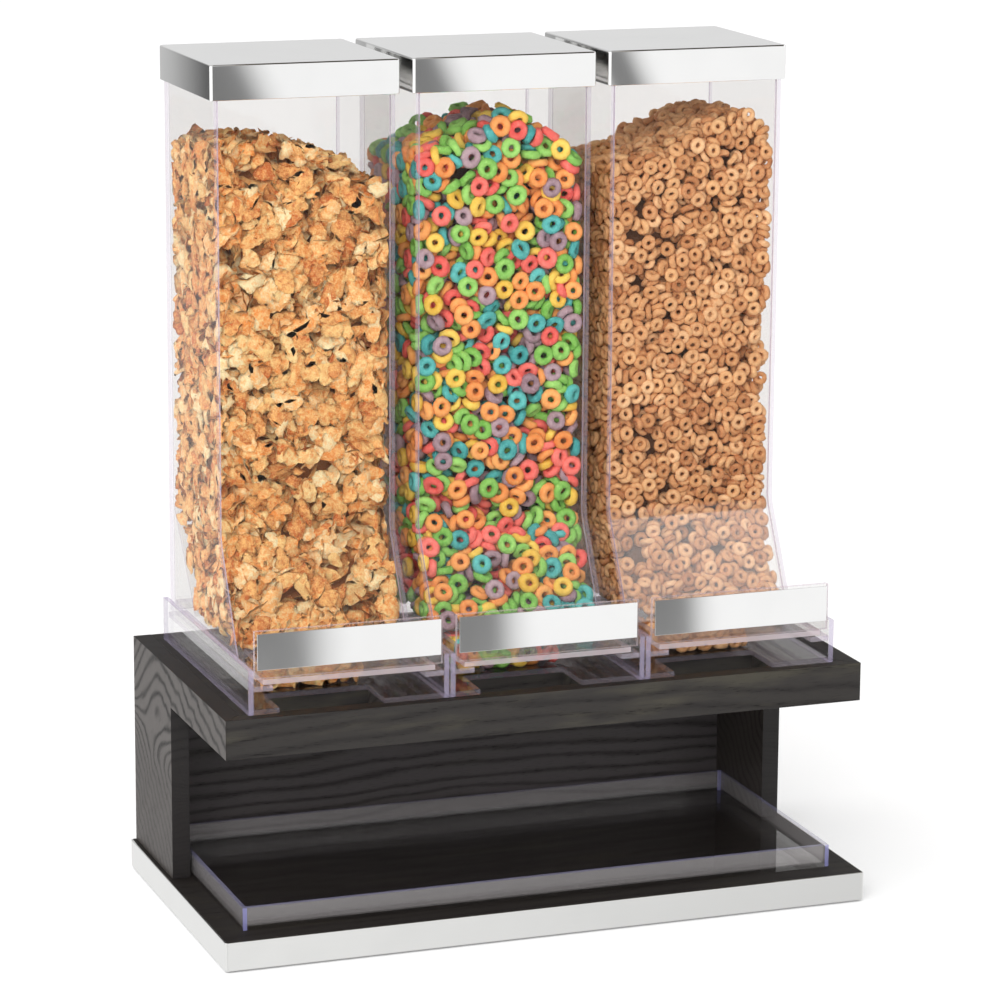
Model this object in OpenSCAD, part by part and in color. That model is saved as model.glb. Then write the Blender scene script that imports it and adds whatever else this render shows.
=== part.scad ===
// Three-bin gravity dispenser for dry food: clear bins on a C-shaped wooden stand.
// Frame: X to the right, Y to the back, Z up, origin on the surface under the middle of the stand.

/* [Bins] */
// Outer width of one bin
bin_w = 133.6; // [105:0.1:170]
// Outer depth of one bin at its mouth
bin_d = 127.5; // [105:0.5:170]
// Height of one bin from the rails to its rim
bin_h = 417.5; // [330:0.5:520]
// Thickness of the bins' clear sheet
bin_t = 3.2; // [2:0.1:4]
// How far the foot of the front panel leans forward of its upper part
nose_run = 40; // [25:1:45]
// Height over which the front panel leans
nose_rise = 76; // [60:1:100]
// Bend radius of the front panel's outer face
nose_bend_r = 28; // [10:1:40]
// Run of the rear ramp towards the front
ramp_run = 55; // [35:1:65]
// Rise of the rear ramp up the back panel
ramp_rise = 72; // [50:1:100]
// Depth of the throat in the floor of a bin
throat_d = 26; // [18:1:34]

/* [Lids] */
// Depth of a lid's skirt
lid_h = 25; // [15:1:40]
// Thickness of a lid's steel sheet
lid_t = 1.2; // [0.8:0.1:1.4]
// Gap between a bin and the inside of its lid's skirt
lid_gap = 1.5; // [0.8:0.1:2]
// Corner radius of a lid, seen from above
lid_r = 2.4; // [1.5:0.1:5]
// Thickness of the gasket under a lid
gasket_t = 1.5; // [1:0.1:3]
// Width of the gasket strip
gasket_w = 7; // [5:0.5:12]

/* [Bays and slides] */
// Thickness of the bays' side walls
wall_t = 4.2; // [3:0.1:6]
// Height of the bays' side walls
wall_h = 32; // [28:1:45]
// Thickness of the bay floors
floor_t = 4.2; // [3:0.1:6]
// Gap between two neighbouring bays
bay_gap = 0.5; // [0.3:0.1:3]
// Gap between a bin and the bay wall beside it
bin_side_gap = 3; // [1:0.1:6]
// Length by which the bays run forward of the bins
serving_d = 99; // [92:1:130]
// Length by which the bins overhang the bays at the back
bin_overhang = 6; // [0:0.5:10]
// Width of a slide rail
rail_w = 14; // [10:0.5:20]
// Thickness of a slide rail
rail_t = 4.3; // [3:0.1:6]
// Height of a rail's underside above the stand
rail_lift = 16.5; // [13:0.5:22]
// Thickness of the slide plate
slide_t = 4.3; // [3:0.1:6]
// Gap that lets one sheet run on another
run_gap = 0.3; // [0.2:0.05:0.8]
// Thickness of the portion chamber's walls
chamber_t = 4.6; // [3:0.1:6]
// Inner depth of the portion chamber
chamber_d = 46; // [36:1:52]
// Distance from the right rail to the chamber
chamber_inset = 26; // [10:0.5:30]
// Height of a handle plate above the slide plate
handle_h = 34.2; // [30:0.1:60]
// Thickness of a handle plate
handle_t = 4.5; // [3:0.1:6]
// Gap between a handle plate and the bay wall beside it
handle_gap = 0.9; // [0.5:0.1:2]
// Height of the steel facing on a handle
facing_h = 26; // [15:0.5:28]
// Thickness of the steel facing
facing_t = 1; // [0.6:0.1:2]
// Clear border around the facing
facing_border = 1.5; // [1:0.1:3]

/* [Stand] */
// Thickness of the wooden panels
panel_t = 13.5; // [10:0.5:18]
// Thickness of the wooden top board
top_t = 13; // [10:0.5:18]
// Height of the arm and of its front apron
arm_h = 28.5; // [20:0.5:45]
// Clear height between the base and the arm
clear_h = 130; // [100:0.5:200]
// Depth of the legs
leg_d = 102; // [70:1:120]
// Wooden border beside the bays
side_border = 18.7; // [15:0.1:40]
// Wooden border in front of the bays
front_border = 8; // [4:0.5:20]
// Wooden border behind the bins
rear_border = 10; // [6:0.5:30]
// Distance from the steel band to the wood at the sides
side_reveal = 3.8; // [2:0.1:15]
// Distance from the steel band to the wood at the front
front_reveal = 7.5; // [2:0.5:20]
// Distance from the steel band to the wood at the back
rear_reveal = 2; // [1.5:0.5:15]
// Height of the steel band
band_h = 21; // [15:1:30]
// Thickness of the steel band
band_t = 1.2; // [0.8:0.1:1.4]
// Outer corner radius of the steel band
band_r = 2; // [1.5:0.1:6]
// Height of the base's underside above the band's lower edge
base_recess = 2.5; // [1:0.5:5]
// Height by which the feet stand below the band
foot_clear = 1.5; // [1:0.1:5]
// Diameter of a foot
foot_dia = 16; // [10:1:25]
// Distance from the corner of the base to the middle of a foot, both ways
foot_inset = 28; // [15:1:60]

/* [Crumb tray] */
// Height of the crumb tray
tray_h = 17; // [10:0.5:30]
// Thickness of the crumb tray's sheet
tray_t = 3.2; // [2:0.1:5]
// Gap between the crumb tray and each leg
tray_gap = 1.8; // [1:0.1:6]
// Distance from the front of the wood to the crumb tray
tray_setback = 14; // [5:0.5:30]
// Gap between the crumb tray and the back panel
tray_rear_gap = 14; // [2:0.5:40]

/* [Screws] */
// Shank diameter of a stand screw
screw_dia = 4; // [3:0.1:5]
// Head diameter of a stand screw
screw_head_dia = 8; // [6:0.1:9]
// Length by which a screw enters the upright over it
screw_bite = 14; // [10:1:25]
// Distance from a leg's edges to the screws in it
screw_inset = 24; // [12:1:40]
// Gap around a screw
screw_gap = 0.1; // [0.05:0.05:0.3]

/* [Hidden] */

bin_count = 3;
bend_steps = 12;
left = -1;
right = 1;
// How far a cut runs past the faces it goes through
cut_over = 1;

// Colours
oak_color = [0.2, 0.18, 0.17];
steel_color = [0.8, 0.8, 0.79];
clear_color = [0.86, 0.87, 0.95, 0.35];
rubber_color = [0.12, 0.12, 0.12];
gasket_color = [0.93, 0.93, 0.9];
screw_color = [0.55, 0.55, 0.57];

// Widths
bay_inner_w = bin_w + 2 * bin_side_gap;
bay_w = bay_inner_w + 2 * wall_t;
pitch = bay_w + bay_gap;
bays_w = bin_count * pitch - bay_gap;
wood_w = bays_w + 2 * side_border;
stand_w = wood_w + 2 * side_reveal;
inside_w = wood_w - 2 * panel_t;

// Depths, from the front to the back
wood_d = front_border + serving_d + bin_d + rear_border;
stand_d = front_reveal + wood_d + rear_reveal;
band_front_y = -stand_d / 2;
wood_front_y = band_front_y + front_reveal;
wood_back_y = wood_front_y + wood_d;
apron_back_y = wood_front_y + panel_t;
bay_front_y = wood_front_y + front_border;
bin_front_y = bay_front_y + serving_d;
bin_back_y = bin_front_y + bin_d;
bay_back_y = bin_back_y - bin_overhang;
leg_front_y = wood_back_y - leg_d;
back_panel_y = wood_back_y - panel_t;

// Heights, from the bottom to the top
base_top_z = foot_clear + band_h;
base_low_z = foot_clear + base_recess;
arm_low_z = base_top_z + clear_h;
stand_top_z = arm_low_z + arm_h;
top_low_z = stand_top_z - top_t;
bay_floor_z = stand_top_z + floor_t;
rail_low_z = stand_top_z + rail_lift;
rail_top_z = rail_low_z + rail_t;
slide_low_z = rail_top_z + run_gap;
slide_top_z = slide_low_z + slide_t;
bin_low_z = rail_top_z;
bin_floor_z = slide_top_z + run_gap;
bin_floor_top_z = bin_floor_z + bin_t;
bin_rim_z = bin_low_z + bin_h;
lid_under_z = bin_rim_z + gasket_t;
lid_top_z = lid_under_z + lid_t;

// Across one bay, from its middle line
rail_in_x = bay_inner_w / 2 - rail_w;
chamber_left_x = -rail_in_x + run_gap;
chamber_right_x = rail_in_x - chamber_inset;
hole_left_x = chamber_left_x + chamber_t;
hole_right_x = chamber_right_x - chamber_t;
bin_in_x = bin_w / 2 - bin_t;
slide_half_w = bin_in_x - run_gap;

// Side view of a bin: the bend of its front panel, and the ramp
nose_foot_z = bin_floor_z;
nose_angle = atan2(nose_run, nose_rise);
bend_y = bin_front_y - nose_bend_r;
bend_z = nose_foot_z + nose_rise + nose_bend_r * tan(nose_angle / 2);
ramp_foot_y = bin_back_y - bin_t - ramp_run;
ramp_top_z = bin_floor_top_z + ramp_rise;
ramp_slice_y = bin_t * ramp_run / ramp_rise;

// Along the slide, when it is closed: the throat, the chamber under it and the notch ahead of them
throat_front_y = nose_foot_y(bin_t);
throat_back_y = throat_front_y + throat_d;
chamber_hole_y = throat_back_y - chamber_d;
chamber_front_y = chamber_hole_y - chamber_t;
chamber_back_y = throat_back_y + chamber_t;
notch_back_y = chamber_front_y - run_gap;
slide_travel = chamber_hole_y - bay_front_y;
slide_back_y = throat_back_y + slide_travel + rail_w;

// Crumb tray
tray_w = inside_w - 2 * tray_gap;
tray_front_y = wood_front_y + tray_setback;
tray_back_y = back_panel_y - tray_rear_gap;

// Feet and screws
foot_sides = 48;
foot_chamfer = 1;
screw_sides = 32;
screw_head_h = (screw_head_dia - screw_dia) / 2;
screw_top_z = base_top_z + screw_bite;
screw_tip_h = screw_dia / 2;
screw_panel_x = inside_w / 4;

// Position of the middle line of bay n
function bay_x(n) = (n - (bin_count + 1) / 2) * pitch;

// Where the leaning face that lies inset from the front panel's outer one meets its foot
function nose_foot_y(inset) = bin_front_y - nose_run + inset / cos(nose_angle);

// Side view of that face, from the rim to the foot
function nose_line(inset) = concat(
    [[bin_front_y + inset, bin_rim_z]],
    [
        for (i = [0 : bend_steps])
            let (a = nose_angle * i / bend_steps)
            [bend_y + (nose_bend_r + inset) * cos(a), bend_z - (nose_bend_r + inset) * sin(a)]
    ],
    [[nose_foot_y(inset), nose_foot_z]]
);

// A block between two corners
module block(low, high) {
    translate(low)
        cube(high - low);
}

// A rectangle with rounded corners, centred on X, from y0 to y1
module round_plan(w, y0, y1, r) {
    translate([-w / 2 + r, y0])
        square([w - 2 * r, y1 - y0]);
    translate([-w / 2, y0 + r])
        square([w, y1 - y0 - 2 * r]);
    for (x = [-w / 2 + r, w / 2 - r])
        for (y = [y0 + r, y1 - r])
            translate([x, y])
                circle(r = r, $fn = 48);
}

// A prism of a side-view outline [y, z] that spans x0 to x1
module side_prism(outline, x0, x1) {
    translate([x0, 0, 0])
        rotate([90, 0, 90])
            linear_extrude(height = x1 - x0)
                polygon(outline);
}

// Where the stand screws stand, as [x, y]
screw_spots = [
    for (side = [left, right])
        for (y = [leg_front_y + screw_inset, wood_back_y - screw_inset])
            [side * (wood_w / 2 - panel_t / 2), y],
    for (side = [left, right])
        [side * screw_panel_x, wood_back_y - panel_t / 2]
];

// The room that the stand screws take, grown by a gap
module screw_room(gap) {
    for (spot = screw_spots)
        translate([spot[0], spot[1], base_low_z]) {
            cylinder(h = screw_top_z - base_low_z + gap, d = screw_dia + 2 * gap, $fn = screw_sides);
            cylinder(
                h = screw_head_h, d1 = screw_head_dia + 2 * gap, d2 = screw_dia + 2 * gap, $fn = screw_sides
            );
        }
}

// Plan of an end panel's mitre at its front end: the part that the apron fills
module mitre_cut(side) {
    translate([0, 0, arm_low_z - cut_over])
        linear_extrude(height = arm_h + 2 * cut_over)
            polygon([
                [side * wood_w / 2, wood_front_y],
                [side * (wood_w / 2 - panel_t), apron_back_y],
                [side * (wood_w / 2 - panel_t - cut_over), apron_back_y],
                [side * (wood_w / 2 - panel_t - cut_over), wood_front_y - cut_over],
                [side * wood_w / 2, wood_front_y - cut_over]
            ]);
}

// A C-shaped end panel: the leg and the arm above it
module end_panel(side) {
    x_out = side * wood_w / 2;
    x_in = side * (wood_w / 2 - panel_t);
    color(oak_color)
        difference() {
            side_prism(
                [
                    [leg_front_y, base_top_z], [wood_back_y, base_top_z],
                    [wood_back_y, stand_top_z], [wood_front_y, stand_top_z],
                    [wood_front_y, arm_low_z], [leg_front_y, arm_low_z]
                ],
                min(x_out, x_in), max(x_out, x_in)
            );
            mitre_cut(side);
            screw_room(screw_gap);
        }
}

// The board that carries the bays, with a drop opening under each notch
module top_board() {
    color(oak_color)
        difference() {
            block([-inside_w / 2, apron_back_y, top_low_z], [inside_w / 2, wood_back_y, stand_top_z]);
            for (n = [1 : bin_count])
                block(
                    [bay_x(n) + hole_left_x - run_gap, apron_back_y - cut_over, top_low_z - cut_over],
                    [bay_x(n) + hole_right_x + run_gap, notch_back_y, stand_top_z + cut_over]
                );
        }
}

// The board across the front of the arm, mitred to the end panels
module front_apron() {
    color(oak_color)
        translate([0, 0, arm_low_z])
            linear_extrude(height = arm_h)
                polygon([
                    [-wood_w / 2, wood_front_y], [wood_w / 2, wood_front_y],
                    [inside_w / 2, apron_back_y], [-inside_w / 2, apron_back_y]
                ]);
}

// The upright board between the legs
module back_panel() {
    color(oak_color)
        difference() {
            block([-inside_w / 2, back_panel_y, base_top_z], [inside_w / 2, wood_back_y, top_low_z]);
            screw_room(screw_gap);
        }
}

// Plan of the room inside the steel band
module inside_band_plan() {
    round_plan(stand_w - 2 * band_t, -stand_d / 2 + band_t, stand_d / 2 - band_t, band_r - band_t);
}

// The board inside the steel band
module base_board() {
    color(oak_color)
        difference() {
            translate([0, 0, base_low_z])
                linear_extrude(height = base_top_z - base_low_z)
                    inside_band_plan();
            screw_room(screw_gap);
        }
}

// The steel band around the base
module base_band() {
    color(steel_color)
        translate([0, 0, foot_clear])
            linear_extrude(height = band_h)
                difference() {
                    round_plan(stand_w, -stand_d / 2, stand_d / 2, band_r);
                    inside_band_plan();
                }
}

// The rubber feet under the base
module feet() {
    color(rubber_color)
        for (x = [-stand_w / 2 + foot_inset, stand_w / 2 - foot_inset])
            for (y = [-stand_d / 2 + foot_inset, stand_d / 2 - foot_inset])
                translate([x, y, 0])
                    rotate_extrude($fn = foot_sides)
                        polygon([
                            [0, 0], [foot_dia / 2 - foot_chamfer, 0], [foot_dia / 2, foot_chamfer],
                            [foot_dia / 2, base_low_z], [0, base_low_z]
                        ]);
}

// The countersunk screws that hold the base to the uprights
module stand_screws() {
    color(screw_color)
        for (spot = screw_spots)
            translate([spot[0], spot[1], base_low_z])
                rotate_extrude($fn = screw_sides)
                    polygon([
                        [0, 0], [screw_head_dia / 2, 0], [screw_dia / 2, screw_head_h],
                        [screw_dia / 2, screw_top_z - base_low_z - screw_tip_h], [0, screw_top_z - base_low_z]
                    ]);
}

// The loose clear tray on the base
module crumb_tray() {
    color(clear_color)
        difference() {
            block([-tray_w / 2, tray_front_y, base_top_z], [tray_w / 2, tray_back_y, base_top_z + tray_h]);
            block(
                [-tray_w / 2 + tray_t, tray_front_y + tray_t, base_top_z + tray_t],
                [tray_w / 2 - tray_t, tray_back_y - tray_t, base_top_z + tray_h + cut_over]
            );
        }
}

// A bay's floor, with its notch open to the front
module bay_floor(n) {
    color(clear_color)
        translate([bay_x(n), 0, 0])
            difference() {
                block(
                    [-bay_inner_w / 2, bay_front_y, stand_top_z],
                    [bay_inner_w / 2, bay_back_y, bay_floor_z]
                );
                block(
                    [hole_left_x - run_gap, bay_front_y - cut_over, stand_top_z - cut_over],
                    [hole_right_x + run_gap, notch_back_y, bay_floor_z + cut_over]
                );
            }
}

// A bay's side wall
module bay_wall(n, side) {
    x_in = side * bay_inner_w / 2;
    x_out = side * bay_w / 2;
    color(clear_color)
        translate([bay_x(n), 0, 0])
            block(
                [min(x_in, x_out), bay_front_y, stand_top_z],
                [max(x_in, x_out), bay_back_y, stand_top_z + wall_h]
            );
}

// The two rails of a bay, bonded to its walls
module bay_rails(n) {
    color(clear_color)
        translate([bay_x(n), 0, 0])
            for (side = [left, right]) {
                x_in = side * rail_in_x;
                x_out = side * bay_inner_w / 2;
                block(
                    [min(x_in, x_out), bay_front_y, rail_low_z],
                    [max(x_in, x_out), bay_back_y, rail_top_z]
                );
            }
}

// The plate that rides on the rails, with the mouth of the portion chamber
module slide_plate(n) {
    color(clear_color)
        translate([bay_x(n), 0, 0])
            difference() {
                block(
                    [-slide_half_w, bay_front_y, slide_low_z],
                    [slide_half_w, slide_back_y, slide_top_z]
                );
                block(
                    [hole_left_x, chamber_hole_y, slide_low_z - cut_over],
                    [hole_right_x, throat_back_y, slide_top_z + cut_over]
                );
            }
}

// The bottomless box under the slide plate that measures a portion
module slide_chamber(n) {
    chamber_low_z = bay_floor_z + run_gap;
    color(clear_color)
        translate([bay_x(n), 0, 0])
            difference() {
                block(
                    [chamber_left_x, chamber_front_y, chamber_low_z],
                    [chamber_right_x, chamber_back_y, slide_low_z]
                );
                block(
                    [hole_left_x, chamber_hole_y, chamber_low_z - cut_over],
                    [hole_right_x, throat_back_y, slide_low_z + cut_over]
                );
            }
}

// The upright plate on the front end of a slide plate
module slide_handle(n) {
    handle_w = bay_inner_w - 2 * handle_gap;
    color(clear_color)
        translate([bay_x(n), 0, 0])
            block(
                [-handle_w / 2, bay_front_y, slide_top_z],
                [handle_w / 2, bay_front_y + handle_t, slide_top_z + handle_h]
            );
}

// The steel sheet on the face of a handle
module slide_facing(n) {
    facing_w = bay_inner_w - 2 * handle_gap - 2 * facing_border;
    facing_top_z = slide_top_z + handle_h - facing_border;
    color(steel_color)
        translate([bay_x(n), 0, 0])
            block(
                [-facing_w / 2, bay_front_y - facing_t, facing_top_z - facing_h],
                [facing_w / 2, bay_front_y, facing_top_z]
            );
}

// A bin's bent front panel, held between its side panels
module bin_front(n) {
    outer = nose_line(0);
    inner = nose_line(bin_t);
    color(clear_color)
        side_prism(
            concat(outer, [for (i = [len(inner) - 1 : -1 : 0]) inner[i]]),
            bay_x(n) - bin_in_x, bay_x(n) + bin_in_x
        );
}

// A bin's side panel, which stands on the rail
module bin_side(n, side) {
    x_in = bay_x(n) + side * bin_in_x;
    x_out = bay_x(n) + side * bin_w / 2;
    color(clear_color)
        side_prism(
            concat(
                nose_line(0),
                [
                    [nose_foot_y(0), bin_low_z], [bin_back_y, bin_low_z],
                    [bin_back_y, bin_rim_z]
                ]
            ),
            min(x_in, x_out), max(x_in, x_out)
        );
}

// A bin's back panel
module bin_back(n) {
    color(clear_color)
        block(
            [bay_x(n) - bin_in_x, bin_back_y - bin_t, bin_low_z],
            [bay_x(n) + bin_in_x, bin_back_y, bin_rim_z]
        );
}

// The sloping sheet that leads the food to the front
module bin_ramp(n) {
    color(clear_color)
        side_prism(
            [
                [ramp_foot_y, bin_floor_top_z], [ramp_foot_y + ramp_slice_y, bin_floor_top_z],
                [bin_back_y - bin_t, ramp_top_z - bin_t], [bin_back_y - bin_t, ramp_top_z]
            ],
            bay_x(n) - bin_in_x, bay_x(n) + bin_in_x
        );
}

// A bin's floor, with its throat over the portion chamber; its front edge is bevelled to the leaning panel
module bin_floor(n) {
    color(clear_color)
        translate([bay_x(n), 0, 0])
            difference() {
                side_prism(
                    [
                        [throat_front_y, bin_floor_z], [bin_back_y - bin_t, bin_floor_z],
                        [bin_back_y - bin_t, bin_floor_top_z],
                        [throat_front_y + bin_t * tan(nose_angle), bin_floor_top_z]
                    ],
                    -bin_in_x, bin_in_x
                );
                block(
                    [hole_left_x, throat_front_y - cut_over, bin_floor_z - cut_over],
                    [hole_right_x, throat_back_y, bin_floor_top_z + cut_over]
                );
            }
}

// A lid: a shallow steel box that drops over the rim
module lid_cover(n) {
    skirt = lid_gap + lid_t;
    low_z = lid_top_z - lid_h;
    color(steel_color)
        translate([bay_x(n), 0, 0])
            difference() {
                translate([0, 0, low_z])
                    linear_extrude(height = lid_h)
                        round_plan(bin_w + 2 * skirt, bin_front_y - skirt, bin_back_y + skirt, lid_r);
                translate([0, 0, low_z - cut_over])
                    linear_extrude(height = lid_under_z - low_z + cut_over)
                        round_plan(
                            bin_w + 2 * lid_gap, bin_front_y - lid_gap, bin_back_y + lid_gap, lid_r - lid_t
                        );
            }
}

// The gasket strip under a lid, which seats on the rim
module lid_gasket(n) {
    inner_w = bin_w - 2 * gasket_w;
    color(gasket_color)
        translate([bay_x(n), 0, bin_rim_z])
            linear_extrude(height = gasket_t)
                difference() {
                    translate([-bin_w / 2, bin_front_y])
                        square([bin_w, bin_d]);
                    translate([-inner_w / 2, bin_front_y + gasket_w])
                        square([inner_w, bin_d - 2 * gasket_w]);
                }
}

end_panel(left);  // end_panel_left
end_panel(right);  // end_panel_right
top_board();
front_apron();
back_panel();
base_board();
base_band();
feet();
stand_screws();
crumb_tray();
bay_floor(1);  // bay_1_floor
bay_wall(1, left);  // bay_1_wall_left
bay_wall(1, right);  // bay_1_wall_right
bay_rails(1);  // bay_1_rails
bay_floor(2);  // bay_2_floor
bay_wall(2, left);  // bay_2_wall_left
bay_wall(2, right);  // bay_2_wall_right
bay_rails(2);  // bay_2_rails
bay_floor(3);  // bay_3_floor
bay_wall(3, left);  // bay_3_wall_left
bay_wall(3, right);  // bay_3_wall_right
bay_rails(3);  // bay_3_rails
slide_plate(1);  // slide_1_plate
slide_chamber(1);  // slide_1_chamber
slide_handle(1);  // slide_1_handle
slide_facing(1);  // slide_1_facing
slide_plate(2);  // slide_2_plate
slide_chamber(2);  // slide_2_chamber
slide_handle(2);  // slide_2_handle
slide_facing(2);  // slide_2_facing
slide_plate(3);  // slide_3_plate
slide_chamber(3);  // slide_3_chamber
slide_handle(3);  // slide_3_handle
slide_facing(3);  // slide_3_facing
bin_front(1);  // bin_1_front
bin_side(1, left);  // bin_1_side_left
bin_side(1, right);  // bin_1_side_right
bin_back(1);  // bin_1_back
bin_ramp(1);  // bin_1_ramp
bin_floor(1);  // bin_1_floor
bin_front(2);  // bin_2_front
bin_side(2, left);  // bin_2_side_left
bin_side(2, right);  // bin_2_side_right
bin_back(2);  // bin_2_back
bin_ramp(2);  // bin_2_ramp
bin_floor(2);  // bin_2_floor
bin_front(3);  // bin_3_front
bin_side(3, left);  // bin_3_side_left
bin_side(3, right);  // bin_3_side_right
bin_back(3);  // bin_3_back
bin_ramp(3);  // bin_3_ramp
bin_floor(3);  // bin_3_floor
lid_cover(1);  // lid_1_cover
lid_gasket(1);  // lid_1_gasket
lid_cover(2);  // lid_2_cover
lid_gasket(2);  // lid_2_gasket
lid_cover(3);  // lid_3_cover
lid_gasket(3);  // lid_3_gasket
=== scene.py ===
"""Looks of a three-bin gravity dispenser for dry food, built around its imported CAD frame.

The frame's own axes hold: X to the right, Y to the back, Z up, in metres, with the origin on the surface under
the middle of the stand. Sizes in the classes are in millimetres unless a name or comment says otherwise.
"""

import logging
import math
from dataclasses import dataclass, field, replace
from enum import Enum
from typing import Any, Optional, Sequence

import bmesh
import bpy
import numpy as np
from mathutils import Matrix, Vector


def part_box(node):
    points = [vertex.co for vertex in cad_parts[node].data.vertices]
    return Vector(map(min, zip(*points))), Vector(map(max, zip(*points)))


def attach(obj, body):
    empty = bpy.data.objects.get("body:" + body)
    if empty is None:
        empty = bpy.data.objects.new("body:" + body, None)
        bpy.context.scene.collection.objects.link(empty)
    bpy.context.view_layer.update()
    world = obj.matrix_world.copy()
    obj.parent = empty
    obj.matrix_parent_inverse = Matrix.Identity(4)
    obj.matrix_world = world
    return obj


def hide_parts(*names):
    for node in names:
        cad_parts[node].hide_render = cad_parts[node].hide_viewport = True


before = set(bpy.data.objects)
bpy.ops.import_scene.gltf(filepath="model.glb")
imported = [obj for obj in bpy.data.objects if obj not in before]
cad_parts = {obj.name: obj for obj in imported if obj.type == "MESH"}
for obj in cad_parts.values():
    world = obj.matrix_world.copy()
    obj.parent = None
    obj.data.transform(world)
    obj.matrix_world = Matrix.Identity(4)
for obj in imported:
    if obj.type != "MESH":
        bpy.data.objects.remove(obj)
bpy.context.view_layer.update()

log = logging.getLogger("dispenser")

MM = 0.001
PITCH = 148.5
WHITE = (1.0, 1.0, 1.0, 1.0)
TAU = 2 * math.pi
Array = np.ndarray
Triple = tuple[float, float, float]
Socket = bpy.types.NodeSocket
Settings = Optional[dict[Any, Any]]


# ---- Shader graphs ----


class Term:
    """A number that varies over a surface: one node output that takes part in Python arithmetic."""

    def __init__(self, graph: "Graph", socket: Socket) -> None:
        """Keeps the graph that new nodes go into, and the socket that carries the number."""
        self.graph = graph
        self.socket = socket

    def math(self, operation: str, *others: Any, clamp: bool = False) -> "Term":
        """Adds one Math node.

        Args:
            operation: Blender's name of the operation.
            others: the numbers or terms for the sockets after the first.
            clamp: keeps the result between 0 and 1.

        Returns:
            The result as a term.
        """
        settings = {"operation": operation, "use_clamp": clamp}
        return self.graph.term("ShaderNodeMath", settings, dict(enumerate((self, *others))))

    def __add__(self, other: Any) -> "Term":
        """Adds."""
        return self.math("ADD", other)

    __radd__ = __add__

    def __sub__(self, other: Any) -> "Term":
        """Subtracts."""
        return self.math("SUBTRACT", other)

    def __rsub__(self, other: Any) -> "Term":
        """Subtracts this term from a number."""
        return (self * -1.0) + other

    def __mul__(self, other: Any) -> "Term":
        """Multiplies."""
        return self.math("MULTIPLY", other)

    __rmul__ = __mul__

    def __truediv__(self, other: Any) -> "Term":
        """Divides."""
        return self.math("DIVIDE", other)

    def __pow__(self, other: Any) -> "Term":
        """Raises to a power."""
        return self.math("POWER", other)

    def __abs__(self) -> "Term":
        """Takes the size without its sign."""
        return self.math("ABSOLUTE")

    def sine(self) -> "Term":
        """Takes the sine, in radians."""
        return self.math("SINE")

    def least(self, other: Any) -> "Term":
        """Takes the smaller of two."""
        return self.math("MINIMUM", other)

    def most(self, other: Any) -> "Term":
        """Takes the larger of two."""
        return self.math("MAXIMUM", other)

    def clamped(self) -> "Term":
        """Keeps between 0 and 1."""
        return self.math("ADD", 0.0, clamp=True)

    def step(self, low: float, high: float) -> "Term":
        """Rises smoothly from 0 at low to 1 at high."""
        settings = {"interpolation_type": "SMOOTHSTEP", "clamp": True}
        inputs = {"Value": self, "From Min": low, "From Max": high, "To Min": 0.0, "To Max": 1.0}
        return self.graph.term("ShaderNodeMapRange", settings, inputs)


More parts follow.
